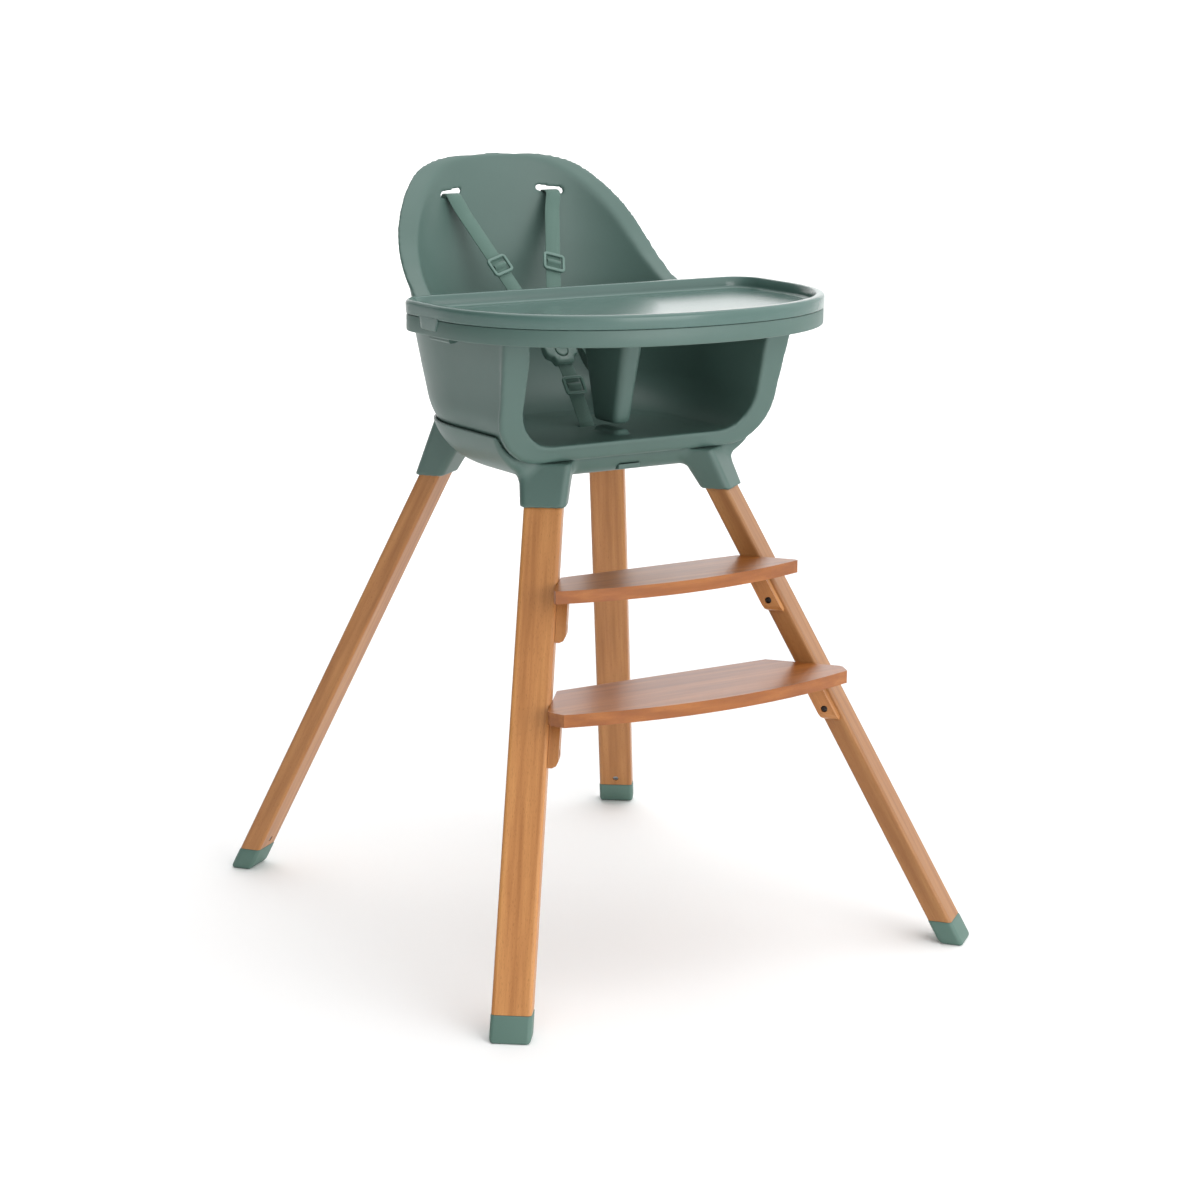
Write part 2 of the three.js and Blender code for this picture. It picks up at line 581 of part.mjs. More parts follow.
function trayInsert() {
  const { floor, rimWide } = INSERT;
  const { seam, crest } = TRAY;
  let body = trayBlock([[0.6, seam], [0, seam + 3], [0, crest - 7], [1.4, crest - 2.4], [5, crest]]);
  body = body.subtract(trayBlock([
    [rimWide + 6, floor], [rimWide + 1.5, floor + 2.2], [rimWide - 2, crest - 3], [rimWide - 5, crest + 0.01],
    [rimWide - 5, crest + 3]]));
  const channel = trayBlock([[3, seam - 1], [3, crest - 8], [6, crest - 4.5]])
    .subtract(trayBlock([[rimWide + 3, seam - 2], [rimWide - 2, crest - 8], [rimWide - 4, crest - 1]]));
  body = body.subtract(channel);
  for (const side of [-1, 1]) {
    body = body.add(tabZone(side, 2.4, 0, 0, seam - INSERT.tabDrop, seam + 3));
  }
  return body;
}

function postSection(size, z) {
  const points = roundedRect(size.wide, size.deep, POST.round).getPoints();
  points.pop();
  return points.map((p) => new THREE.Vector3(p.x, POST.y + p.y, z));
}

const POST_SCREW_YS = [POST.y - 24, POST.y + 24];
const POST_SCREW = { head: 4, shank: 1.9, length: 16 };
const DOWN = new THREE.Vector3(0, 0, -1);
const postScrewStart = (y) => new THREE.Vector3(0, y, TRAY.floor + TRAY.wall + 2.4);
const postScrewRoom = (y) => screwRoom(POST_SCREW, postScrewStart(y), DOWN);

function crotchPost() {
  const top = TRAY.floor - GAP;
  const mid = { wide: (POST.top.wide + POST.foot.wide) / 2, deep: (POST.top.deep + POST.foot.deep) / 2 };
  const half = (POST.bottom + 705) / 2;
  let body = loft([
    postSection({ wide: POST.foot.wide - 7, deep: POST.foot.deep - 8 }, POST.bottom),
    postSection({ wide: POST.foot.wide - 1.5, deep: POST.foot.deep - 2 }, POST.bottom + 3),
    postSection(POST.foot, POST.bottom + 8),
    postSection(mid, half),
    postSection(POST.top, 705),
    postSection({ wide: POST.top.wide + 3, deep: POST.top.deep + 8 }, top),
  ]);
  const slim = (size) => ({ wide: size.wide - 6, deep: size.deep - 6 });
  const hollow = loft([
    postSection(slim(POST.foot), POST.bottom + 10), postSection(slim(mid), half),
    postSection(slim(POST.top), 705), postSection(slim(POST.top), top + 1)]);
  const reach = POST.top.wide / 2 - 1;
  const bosses = POST_SCREW_YS.map((y) => block(-reach, reach, y - 4, y + 4, top - 22, top));
  body = body.subtract(hollow.subtract(union(bosses)));
  for (const y of POST_SCREW_YS) body = body.subtract(postScrewRoom(y));
  return body;
}

// Latch paddle beside each arm; it slides outwards to free the tray.
const latchX = () => ARM_OUT() + 9;
function latchRoom(side) {
  const x = side * (latchX() + LATCH.thick / 2 + LATCH.travel / 2);
  const half = LATCH.thick / 2 + LATCH.travel / 2 + FIT;
  const deep = 8 + FIT;
  return block(x - half, x + half, LATCH.y - deep, LATCH.y + deep, TRAY.floor - 1, TRAY.floor + TRAY.wall + 1);
}

function trayLatch(side) {
  const near = latchX();
  const far = near + LATCH.thick;
  const half = LATCH.long / 2;
  const { foot } = LATCH;
  const outline = [[near + 2, foot], [far - 2, foot], [far, foot + 2], [far, TRAY.floor - FIT],
    [near, TRAY.floor - FIT], [near, foot + 9], [near - 5, foot + 7], [near - 5, foot + 3]];
  const profile = new THREE.Shape(outline.map(([x, z]) => new THREE.Vector2(x, z)));
  const paddle = placed(prism(profile, LATCH.long), rightHanded(
    new THREE.Vector3(1, 0, 0), new THREE.Vector3(0, 0, 1),
    new THREE.Vector3(0, -1, 0), new THREE.Vector3(0, LATCH.y + half, 0)));
  const stem = block(near + 2, far - 2, LATCH.y - 8, LATCH.y + 8, TRAY.floor - 2, TRAY.floor + TRAY.wall + 1);
  const keeper = block(near, far, LATCH.y - 11, LATCH.y + 11, TRAY.floor + TRAY.wall + GAP, TRAY.seam - 1);
  const whole = paddle.add(stem).add(keeper);
  return side > 0 ? whole : mirrored(whole);
}

// ---------------------------------------------------------------- harness
// A flat ribbon through points; "across" is the width direction at each of them.
function ribbon(points, across, wide, thick) {
  const rings = points.map((point, i) => {
    const before = points[Math.max(i - 1, 0)];
    const after = points[Math.min(i + 1, points.length - 1)];
    const run = after.clone().sub(before).normalize();
    const side = across[i].clone().addScaledVector(run, -across[i].dot(run)).normalize();
    const up = new THREE.Vector3().crossVectors(run, side);
    return [[-1, -1], [1, -1], [1, 1], [-1, 1]].map(([s, u]) => point.clone()
      .addScaledVector(side, (s * wide) / 2).addScaledVector(up, (u * thick) / 2));
  });
  const flat = rings.flat();
  const index = [];
  for (let r = 0; r + 1 < rings.length; r += 1) {
    for (let i = 0; i < 4; i += 1) {
      const j = (i + 1) % 4;
      const [a, b, c, d] = [4 * r + i, 4 * r + j, 4 * r + 4 + i, 4 * r + 4 + j];
      index.push(a, b, d, a, d, c);
    }
  }
  const last = 4 * (rings.length - 1);
  index.push(0, 2, 1, 0, 3, 2, last, last + 1, last + 2, last, last + 2, last + 3);
  const geometry = new THREE.BufferGeometry();
  const numbers = flat.flatMap((p) => [p.x, p.y, p.z]);
  geometry.setAttribute('position', new THREE.Float32BufferAttribute(numbers, 3));
  geometry.setIndex(index);
  const body = solid(geometry);
  return body.volume() > 0 ? body : solid(flipped(geometry));
}

function flipped(geometry) {
  const turned = geometry.clone();
  const index = [...geometry.index.array];
  for (let i = 0; i < index.length; i += 3) [index[i + 1], index[i + 2]] = [index[i + 2], index[i + 1]];
  turned.setIndex(index);
  return turned;
}

const vec = (x, y, z) => new THREE.Vector3(x, y, z);
const BUCKLE_UP = vec(0, Math.sin(BUCKLE.tilt * Math.PI / 180), Math.cos(BUCKLE.tilt * Math.PI / 180));
const BUCKLE_FACE = vec(0, -BUCKLE_UP.z, BUCKLE_UP.y);
const ACROSS = vec(1, 0, 0);
const BUCKLE_AT = vec(0, BUCKLE.y, BUCKLE.z);
const buckleFrame = rightHanded(ACROSS, BUCKLE_UP, BUCKLE_FACE.clone(), BUCKLE_AT);
const onBuckle = (x, up, face) => BUCKLE_AT.clone().addScaledVector(ACROSS, x)
  .addScaledVector(BUCKLE_UP, up).addScaledVector(BUCKLE_FACE, face);

const buckleTop = BUCKLE.high / 2;
const TONGUE = { wide: 19, high: 24, thick: 3, x: 12.5, in: 9 };

const slotWall = backAt(bucket(SLOT.z), SLOT.x);
const tongueTop = onBuckle(TONGUE.x, buckleTop + TONGUE.high + 4, 0);
const slotBend = vec(SLOT.x, slotWall - 9, SLOT.z - 5);

// Right shoulder strap: through the slot, down with a little slack, straight where its slider moves.
const shoulderPath = [
  vec(SLOT.x, slotWall + 8, SLOT.z - 8), vec(SLOT.x, slotWall + 6, SLOT.z - 1),
  vec(SLOT.x, slotWall - 5, SLOT.z - 1), slotBend,
  ...[0.12, 0.72, 0.88].map((t) => {
    const point = slotBend.clone().lerp(tongueTop, t);
    point.y += 4;
    return point;
  }),
  tongueTop];

const flatRibbon = (path, wide) => ribbon(path, path.map(() => ACROSS), wide, STRAP.thick);

// Ladder-lock slider: a rounded frame with a middle bar, the strap passing through it.
function slider(wide, high) {
  const frame = prism(roundedRect(wide, high, 3, 2), 4.6).subtract(
    moved(prism(roundedRect(wide - 6, high - 6, 1.5, 2), 8), 0, 0, -1));
  const bar = block(-wide / 2 + 1, wide / 2 - 1, -2, 2, 0, 1.4);
  const tunnel = block(-STRAP.wide / 2 - FIT, STRAP.wide / 2 + FIT, -high, high,
    2.3 - STRAP.thick / 2 - 0.2, 2.3 + STRAP.thick / 2 + 0.2);
  return moved(frame.add(bar).subtract(tunnel), 0, 0, -2.3);
}

const SLIDER = { wide: 27, high: 21, at: 4.72 };
function alongPath(path, where) {
  const i = Math.floor(where);
  const run = path[i + 1].clone().sub(path[i]).normalize();
  const point = path[i].clone().lerp(path[i + 1], where - i);
  const side = ACROSS.clone().addScaledVector(run, -ACROSS.dot(run)).normalize();
  const face = new THREE.Vector3().crossVectors(side, run);
  return rightHanded(side, run, face, point);
}

const crotchPath = [vec(0, CROTCH_SLOT.y, FLOOR - 12), vec(0, CROTCH_SLOT.y, FLOOR + 1),
  vec(0, CROTCH_SLOT.y + 7, FLOOR + 10), onBuckle(0, -buckleTop - 14, 0), onBuckle(0, -buckleTop - GAP, 0)];

// Right lap strap: from the tongue round the seat to its slot, turning from flat to upright.
function lapStrap() {
  const slot = lapFrame(0);
  const atSlot = (inwards) => vec(0, 0, inwards).applyMatrix4(slot);
  const start = onBuckle(TONGUE.x + 17, buckleTop + 10, 0);
  const inside = atSlot(9);
  const path = [start];
  for (let i = 1; i < 5; i += 1) {
    const point = start.clone().lerp(inside, i / 5);
    point.z -= 9 * Math.sin((Math.PI * i) / 5);
    path.push(point);
  }
  path.push(inside, atSlot(-LAP_OUT));
  const run = vec(1, 0, 0).transformDirection(slot);
  const across = path.map((point, i) => BUCKLE_UP.clone().negate().lerp(run, smooth(i / (path.length - 2))));
  return ribbon(path, across, STRAP.wide - 1, STRAP.thick);
}

function buckleBody() {
  const outer = prism(roundedRect(BUCKLE.wide, BUCKLE.high, 7, 3), BUCKLE.thick);
  let body = moved(outer, 0, 0, -BUCKLE.thick / 2);
  body = body.subtract(moved(round(8.4, 20), 0, -1, -0.2));
  for (const side of [-1, 1]) {
    body = body.subtract(block(side * TONGUE.x - TONGUE.wide / 2 + 4, side * TONGUE.x + TONGUE.wide / 2 - 4,
      buckleTop - TONGUE.in - 1, buckleTop + 5, -TONGUE.thick / 2 - 0.3, TONGUE.thick / 2 + 0.3)
      .intersect(block(side > 0 ? 1 : -60, side > 0 ? 60 : -1, -50, 50, -20, 20)));
  }
  return placed(body, buckleFrame);
}

function buckleTongue() {
  const { wide, high, thick, x } = TONGUE;
  const face = prism(roundedRect(wide + 4, high, 4, 2), thick);
  const plate = moved(face, x + 2.6, buckleTop + high / 2 + 0.6, -thick / 2);
  const half = wide / 2 - 4.6;
  const prong = block(x - half, x + half, buckleTop - TONGUE.in, buckleTop + 2, -thick / 2, thick / 2);
  return placed(plate.add(prong), buckleFrame);
}

const buckleButton = () => placed(moved(round(8, 4.8), 0, -1, 1.9), buckleFrame);

// Bars that keep the strap ends behind the seat's wall.
const LAP_OUT = WALL + 1.1;
const anchorBar = (wide, high, thick, matrix) => placed(prism(roundedRect(wide, high, 3, 2), thick), matrix);

// ---------------------------------------------------------------- seat release lever
function releaseLever() {
  const { wide, high, z } = LEVER;
  const plate = block(-wide / 2, wide / 2, LEVER.out + 1, LEVER.in, z, z + high);
  const hook = block(-9, 9, LEVER.in - 8, LEVER.in, z, z + 24);
  return plate.add(hook);
}

// ---------------------------------------------------------------- strip springs
// A wavy steel strip that runs from start along run, swinging to and fro.
function waveSpring(start, run, swing, across, wide) {
  const points = [];
  for (let i = 0; i <= 24; i += 1) {
    const t = i / 24;
    points.push(start.clone().addScaledVector(run, t).addScaledVector(swing, Math.sin(6 * Math.PI * t)));
  }
  return ribbon(points, points.map(() => across), wide, 0.8);
}

// behind the lever, up to the cross rib of the chassis
const releaseSpring = () => waveSpring(vec(0, LEVER.in + 1, LEVER.z + 3),
  vec(0, CHASSIS.pads.y - 4 - LEVER.in, 0), vec(5, 0, 0), vec(0, 0, 1), 4);

// between a latch and the tray's skirt
function latchSpring(side) {
  const from = latchX() + LATCH.thick + 0.8;
  const to = TRAY.halfWidth - 1.2 - TRAY.wall - 0.8;
  return waveSpring(vec(side * from, LATCH.y, TRAY.floor - 8), vec(side * (to - from), 0, 0), vec(0, 4, 0),
    vec(0, 0, 1), 5);
}

// ---------------------------------------------------------------- the chair
add('seat_shell', seatShell(), PLASTIC);
add('seat_chassis', seatChassis(), PLASTIC);
add('seat_release_lever', releaseLever(), PLASTIC);
add('seat_release_spring', releaseSpring(), STEEL);

for (const corner of CORNERS) {
  add(`leg_${corner.name}`, leg(corner), BEECH);
  add(`foot_cap_${corner.name}`, footCap(corner.frame), PLASTIC);
  add(`foot_screw_${corner.name}`, along(screw(FOOT_SCREW.head, FOOT_SCREW.shank, FOOT_SCREW.length),
    footScrewStart(corner.frame), corner.frame.out), STEEL);
  add(`leg_screw_${corner.name}`, along(screw(LEG_SCREW.head, LEG_SCREW.shank, LEG_SCREW.length),
    legScrewStart(corner.frame), corner.frame.out), STEEL);
}

for (const [name, step] of Object.entries(STEPS)) {
  add(`step_${name}`, stepBoard(step), BEECH);
  for (const corner of FRONT) {
    const place = `${name}_${corner.side < 0 ? 'left' : 'right'}`;
    add(`step_cleat_${place}`, cleat(corner, step), BEECH);
    add(`cleat_screw_${place}`, along(screw(CLEAT_SCREW.head, CLEAT_SCREW.shank, CLEAT_SCREW.length),
      cleatScrewStart(corner, step), stepSide(corner).negate()), STEEL);
  }
}

add('tray_base', trayBase(), PLASTIC);
add('tray_insert', trayInsert(), PLASTIC);
add('crotch_post', crotchPost(), PLASTIC);
POST_SCREW_YS.forEach((y, i) => add(`post_screw_${i ? 'rear' : 'front'}`,
  along(screw(POST_SCREW.head, POST_SCREW.shank, POST_SCREW.length), postScrewStart(y), DOWN), STEEL));

const backward = new THREE.Matrix4().makeRotationX(Math.PI / 2).setPosition(SLOT.x, slotWall + 13.5, SLOT.z - 9);
for (const [side, hand] of [[-1, 'left'], [1, 'right']]) {
  const onSide = (shape) => (side > 0 ? shape : mirrored(shape));
  add(`tray_latch_${hand}`, trayLatch(side), PLASTIC);
  add(`latch_spring_${hand}`, latchSpring(side), STEEL);
  add(`shoulder_strap_${hand}`, onSide(flatRibbon(shoulderPath, STRAP.wide)), WEBBING);
  add(`shoulder_slider_${hand}`,
    onSide(placed(slider(SLIDER.wide, SLIDER.high), alongPath(shoulderPath, SLIDER.at))), PLASTIC);
  add(`shoulder_anchor_${hand}`, onSide(anchorBar(44, 9, 4, backward)), PLASTIC);
  add(`lap_strap_${hand}`, onSide(lapStrap()), WEBBING);
  add(`lap_anchor_${hand}`, onSide(anchorBar(24, 6, 3, lapFrame(LAP_OUT + 3.3))), PLASTIC);
  add(`buckle_tongue_${hand}`, onSide(buckleTongue()), PLASTIC);
}

add('buckle_body', buckleBody(), PLASTIC);
add('buckle_button', buckleButton(), PLASTIC);
add('crotch_strap', flatRibbon(crotchPath, STRAP.wide), WEBBING);
add('crotch_slider', placed(slider(SLIDER.wide, SLIDER.high), alongPath(crotchPath, 2.7)), PLASTIC);
add('crotch_anchor', moved(prism(roundedRect(36, 10, 3, 2), 5), 0, CROTCH_SLOT.y, FLOOR - 17.5), PLASTIC);

export default chair;
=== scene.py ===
"""Baby high chair: moulded seat and chassis, beech legs and boards, tray, webbing harness."""

import math

import bpy
import numpy as np
import openvdb
from mathutils import Matrix, Vector


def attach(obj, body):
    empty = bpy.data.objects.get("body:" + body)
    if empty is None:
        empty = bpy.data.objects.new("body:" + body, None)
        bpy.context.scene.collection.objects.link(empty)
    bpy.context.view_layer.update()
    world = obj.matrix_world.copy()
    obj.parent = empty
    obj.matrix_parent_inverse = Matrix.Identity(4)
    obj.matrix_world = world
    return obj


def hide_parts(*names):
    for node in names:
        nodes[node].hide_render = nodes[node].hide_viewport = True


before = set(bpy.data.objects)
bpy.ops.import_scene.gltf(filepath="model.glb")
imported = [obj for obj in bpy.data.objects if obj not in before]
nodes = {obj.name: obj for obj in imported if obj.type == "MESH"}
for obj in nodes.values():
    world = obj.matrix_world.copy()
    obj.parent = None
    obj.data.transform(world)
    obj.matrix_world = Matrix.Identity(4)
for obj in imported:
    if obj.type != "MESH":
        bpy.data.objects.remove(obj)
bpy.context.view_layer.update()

# ---------------------------------------------------------------- studio
# A seamless pale sweep under large soft lamps, with the camera at a standing adult's
# height, to the left of the chair. Nothing here belongs to the chair.

EYE = Vector((-1.788, -2.836, 1.139))
YAW, PITCH, ROLL = math.radians(32.63), math.radians(12.63), math.radians(0.35)
FOCAL, SENSOR = 84.315, 36.0


def linear(colour):
    """An sRGB hex colour as linear RGBA."""
    channels = [int(colour[i:i + 2], 16) / 255 for i in (1, 3, 5)]
    return [c / 12.92 if c <= 0.04045 else ((c + 0.055) / 1.055) ** 2.4 for c in channels] + [1.0]


ahead = Vector((math.sin(YAW) * math.cos(PITCH), math.cos(YAW) * math.cos(PITCH),
                -math.sin(PITCH)))
level = ahead.cross(Vector((0, 0, 1))).normalized()
upward = level.cross(ahead)
right = level * math.cos(ROLL) + upward * math.sin(ROLL)
upward = upward * math.cos(ROLL) - level * math.sin(ROLL)
lens = bpy.data.cameras.new("lens")
lens.sensor_width, lens.lens = SENSOR, FOCAL
camera = bpy.data.objects.new("camera", lens)
axes = Matrix((right, upward, -ahead)).transposed().to_4x4()
camera.matrix_world = Matrix.Translation(EYE) @ axes
bpy.context.collection.objects.link(camera)
bpy.context.scene.camera = camera


def put(tree, kind, settings=None, **inputs):
    """Adds a node, sets its properties, and sets or links its inputs by name."""
    node = tree.nodes.new(kind)
    for name, value in (settings or {}).items():
        setattr(node, name, value)
    for name, value in inputs.items():
        socket = node.inputs[int(name[1:]) if name[0] == "_" else name.replace("_", " ")]
        if isinstance(value, bpy.types.NodeSocket):
            tree.links.new(value, socket)
        else:
            socket.default_value = value
    return node


def finish_of(name, **shader):
    """A material with one principled shader; constants go straight on its sockets."""
    made = bpy.data.materials.new(name)
    made.use_nodes = True
    tree = made.node_tree
    surface = tree.nodes["Principled BSDF"]
    for key, value in shader.items():
        surface.inputs[key.replace("_", " ")].default_value = value
    return made, tree, surface


def shape(name, points, faces):
    """A new object with a smooth-shaded mesh, in metres."""
    mesh = bpy.data.meshes.new(name)
    mesh.from_pydata(points, [], faces)
    mesh.validate()
    mesh.shade_smooth()
    piece = bpy.data.objects.new(name, mesh)
    bpy.context.collection.objects.link(piece)
    return piece


def floor_paint():
    made, tree, surface = finish_of("painted_studio_floor", Roughness=0.9)
    where = put(tree, "ShaderNodeTexCoord").outputs["Object"]
    cloud = put(tree, "ShaderNodeTexNoise", Vector=where, Scale=1.2, Detail=2.0)
    tint = put(tree, "ShaderNodeMix", {"data_type": "RGBA"}, _0=cloud.outputs["Fac"],
               _6=linear("#FDFDFD"), _7=linear("#FBFBFB"))
    tree.links.new(tint.outputs[2], surface.inputs["Base Color"])
    return made


def sweep():
    """Floor that curves up into a back wall, far behind the chair."""
    side, near, far, bend, top = 14.0, -7.0, 5.0, 3.0, 8.0
    profile = [(near, 0.0), (far, 0.0)]
    profile += [(far + bend * math.sin(a), bend - bend * math.cos(a))
                for a in (math.pi / 2 * i / 16 for i in range(1, 17))]
    profile.append((far + bend, top))
    turn = Matrix.Rotation(-YAW, 3, "Z")
    points = [turn @ Vector((x, y, z)) for y, z in profile for x in (-side, side)]
    faces = [(2 * i, 2 * i + 1, 2 * i + 3, 2 * i + 2) for i in range(len(profile) - 1)]
    floor = shape("sweep", points, faces)
    floor.data.materials.append(floor_paint())


sweep()


def lamp(name, place, target, size, power):
    """A rectangular lamp, in metres and watts, turned to its target."""
    light = bpy.data.lights.new(name, "AREA")
    light.shape, light.size, light.size_y, light.energy = "RECTANGLE", size[0], size[1], power
    holder = bpy.data.objects.new(name, light)
    holder.location = place
    holder.rotation_euler = (Vector(target) - Vector(place)).to_track_quat("-Z", "Y").to_euler()
    bpy.context.collection.objects.link(holder)


lamp("overhead_softbox", (0.4, 0.3, 3.6), (0, 0, 0.4), (3.2, 3.2), 26)
lamp("key_softbox", (0.6, -3.8, 1.3), (0, 0, 0.4), (2.6, 2.0), 42)
into = Vector((math.sin(YAW), math.cos(YAW), 0))
lamp("backdrop_softbox", into * 3.2 + Vector((0, 0, 4.2)), into * 8 + Vector((0, 0, 2.2)),
     (6.0, 2.0), 230)
# The air is dimmer on the chair's left, which gives its side wall a shade.
SKY_BRIGHT, SKY_DIM, DIM_SIDE = 1.36, 0.15, (-0.92, 0.38, -0.1)
world = bpy.data.worlds.new("studio_air")
world.use_nodes = True
sky = world.node_tree
toward = put(sky, "ShaderNodeTexCoord").outputs["Generated"]
shaded = put(sky, "ShaderNodeVectorMath", {"operation": "DOT_PRODUCT"}, _0=toward, _1=DIM_SIDE)
level_of_sky = put(sky, "ShaderNodeMapRange", Value=shaded.outputs["Value"], _1=-0.15, _2=0.55,
                   _3=SKY_BRIGHT, _4=SKY_DIM)
sky.links.new(level_of_sky.outputs[0], sky.nodes["Background"].inputs["Strength"])
sky.nodes["Background"].inputs["Color"].default_value = linear("#FFFFFF")
bpy.context.scene.world = world
bpy.context.scene.view_settings.view_transform = "Standard"    # white paper stays white

# ---------------------------------------------------------------- moulded plastic
# Injection-moulded polypropylene, self-coloured sage green, satin from a fine spark-eroded
# mould texture. The grain is about 0.3 mm in life and is drawn at 0.9 mm, so that it shows.

MM = 0.001
SAGE, SAGE_DEEP = "#546E67", "#4E6760"
PP_GRAIN, PP_MOTTLE = 0.9, 60.0


def sage_plastic(name, roughness, grain_depth, light=SAGE, deep=SAGE_DEEP, coat=0.0):
    made, tree, surface = finish_of(name, IOR=1.49, Coat_Weight=coat, Coat_Roughness=0.12)
    where = put(tree, "ShaderNodeTexCoord").outputs["Object"]
    mottle = put(tree, "ShaderNodeTexNoise", Vector=where, Scale=1 / (PP_MOTTLE * MM), Detail=3.0)
    tint = put(tree, "ShaderNodeMix", {"data_type": "RGBA"}, _0=mottle.outputs["Fac"],
               _6=linear(light), _7=linear(deep))
    tree.links.new(tint.outputs[2], surface.inputs["Base Color"])
    grain = put(tree, "ShaderNodeTexNoise", Vector=where, Scale=1 / (PP_GRAIN * MM), Detail=2.0)
    gloss = put(tree, "ShaderNodeMapRange", Value=grain.outputs["Fac"], _3=roughness - 0.05,
                _4=roughness + 0.06)
    tree.links.new(gloss.outputs[0], surface.inputs["Roughness"])
    bump = put(tree, "ShaderNodeBump", Height=grain.outputs["Fac"], Strength=0.35,
               Distance=grain_depth * MM)
    tree.links.new(bump.outputs["Normal"], surface.inputs["Normal"])
    return made


shell_plastic = sage_plastic("satin_moulded_polypropylene", 0.42, 0.03)


def dress(node, material):
    """Gives a piece of the frame, which keeps its shape, its material."""
    piece = nodes[node]
    for place in piece.material_slots:
        place.link = "OBJECT"
        place.material = material


# ---------------------------------------------------------------- seat
# One polypropylene moulding: the bucket, the wide flange round the backrest, the outer
# skin and the U-shaped frame at the open front. It is moulded hollow behind the flange.

FLOOR, ARM_TOP, MID_Y, WALL = 605.0, 742.0, -20.0, 3.5
HALF_WIDTH, FLARE_WIDTH, SIDE_ROUND, BACK_ROUND = 162.0, 38.0, 48.0, 82.0
BACK_AT_FLOOR, RECLINE = 145.0, 0.2
FRONT_FOOT, FRONT_HALF, FRONT_ROUND, FRONT_FLARE = 585.0, 192.0, 62.0, 8.0
FACE_Y, FACE_LEAN, FACE_DEEP = -120.0, 0.25, 8.0
SKIN_FOOT = 594.0                       # lower edge of the skin, inside the chassis
RIM = [(-260, 742), (5, 742), (33, 747), (62, 757), (86, 771.5), (111, 792), (134, 819),
       (157, 854), (176, 880), (189, 896), (199, 909), (207, 916), (214, 918.5), (260, 918.5)]
SLOT = {"x": 71.0, "z": 871.0, "wide": 34.0, "high": 6.0, "corner": 2.4, "tilt": 0.14}
LAP_SLOT = {"x": 104.0, "z": 642.0, "wide": 26.0, "high": 5.0, "corner": 2.2}
CROTCH_SLOT = {"y": -12.0, "wide": 26.0, "high": 6.4, "corner": 2.4}
POST_Y = -67.0
PAD = {"wide": 20.0, "deep": 50.0, "high": 6.0, "corner": 6.0}      # under the crotch post's foot
BACK_WALL = 4.4                         # the bucket's own wall, where it is single
BUCKET_PLAN, SKIN_PLAN = 2.4, 2.6       # how square the plan is behind MID_Y; 2 is an ellipse


def ease(t):
    s = np.clip(t, 0, 1)
    return s * s * (3 - 2 * s)


def edge_round(z, bottom, radius):
    """How far a wall has drawn in at a height, on its way round into the floor."""
    up = np.clip(z - bottom, 0, radius)
    return radius - np.sqrt(np.maximum(0, radius**2 - (radius - up) ** 2))


def bucket_size(z, grow=0.0):
    bottom = FLOOR - grow
    wide = HALF_WIDTH + FLARE_WIDTH * ease((z - 700) / 142) + grow
    back = BACK_AT_FLOOR + RECLINE * (z - FLOOR) + grow
    return (wide - edge_round(z, bottom, SIDE_ROUND + grow),
            back - edge_round(z, bottom, BACK_ROUND + grow))


def skin_size(z, grow=0.0):
    bottom = FRONT_FOOT - grow
    low = FRONT_HALF - 5 + 13 * ease((z - 640) / 110)
    high = HALF_WIDTH + FLARE_WIDTH * ease((z - 700) / 142) + 20
    thick = WALL + 0.6 + (9 - WALL - 0.6) * ease((z - 745) / 30)
    back = np.minimum(BACK_AT_FLOOR + RECLINE * (z - FLOOR) + thick, 212.5) + grow
    return (np.maximum(low, high) + grow - edge_round(z, bottom, FRONT_ROUND + grow),
            back - edge_round(z, bottom, BACK_ROUND + 18 + grow))


def wall_back(size, x):
    """Where the bucket's back stands at a distance from the middle."""
    share = (1 - (x / size[0]) ** BUCKET_PLAN) ** (1 / BUCKET_PLAN)
    return MID_Y + share * (size[1] - MID_Y)


def lap_axes(side):
    """Along the wall, inwards, and the middle of a lap slot."""
    size, x = bucket_size(np.array(LAP_SLOT["z"])), LAP_SLOT["x"]
    run = Vector((2, wall_back(size, x + 1) - wall_back(size, x - 1), 0)).normalized()
    inward = Vector((run.y, -run.x, 0))
    flip = Vector((side, 1, 1))
    return run * flip, inward * flip, Vector((x, wall_back(size, x), LAP_SLOT["z"])) * flip


class Block:
    """A block of space in millimetres, sampled at a step. Fields on it are negative inside."""

    def __init__(self, low, high, step):
        self.low, self.step = np.array(low, float), step
        axes = [np.arange(a, b + step, step) for a, b in zip(low, high)]
        self.x, self.y, self.z = np.meshgrid(*axes, indexing="ij", sparse=True)
        self.shape = tuple(len(a) for a in axes)

    def even(self, field):
        """A field rescaled so that it reads as a distance near its surface."""
        full = np.broadcast_to(field, self.shape)
        slope = np.sqrt(sum(g * g for g in np.gradient(full, self.step)))
        return np.clip(full / np.maximum(slope, 0.05), -40, 40)

    def plan(self, size, power):
        """Inside a plan outline with straight sides and a round back."""
        x, y = np.abs(self.x) / size[0], np.maximum(self.y - MID_Y, 0) / (size[1] - MID_Y)
        return self.even(size[0] * ((x**power + y**power) ** (1 / power) - 1))

    def mesh(self, name, field, smooth):
        """The surface of a field as a piece, eased by a few rounds of smoothing."""
        grid = openvdb.FloatGrid(60.0)
        grid.copyFromArray(np.ascontiguousarray(field, dtype=np.float32))
        points, _, quads = grid.convertToPolygons(isovalue=0.0, adaptivity=0.0)
        piece = shape(name, (points * self.step + self.low) * MM, quads[:, ::-1])
        relax = piece.modifiers.new("relax", "SMOOTH")
        relax.factor, relax.iterations = 0.5, smooth
        return piece


def join(a, b, melt):
    """Union of two fields with a fillet of about the size of melt."""
    h = np.clip(0.5 + 0.5 * (b - a) / melt, 0, 1)
    return b * (1 - h) + a * h - melt * h * (1 - h)


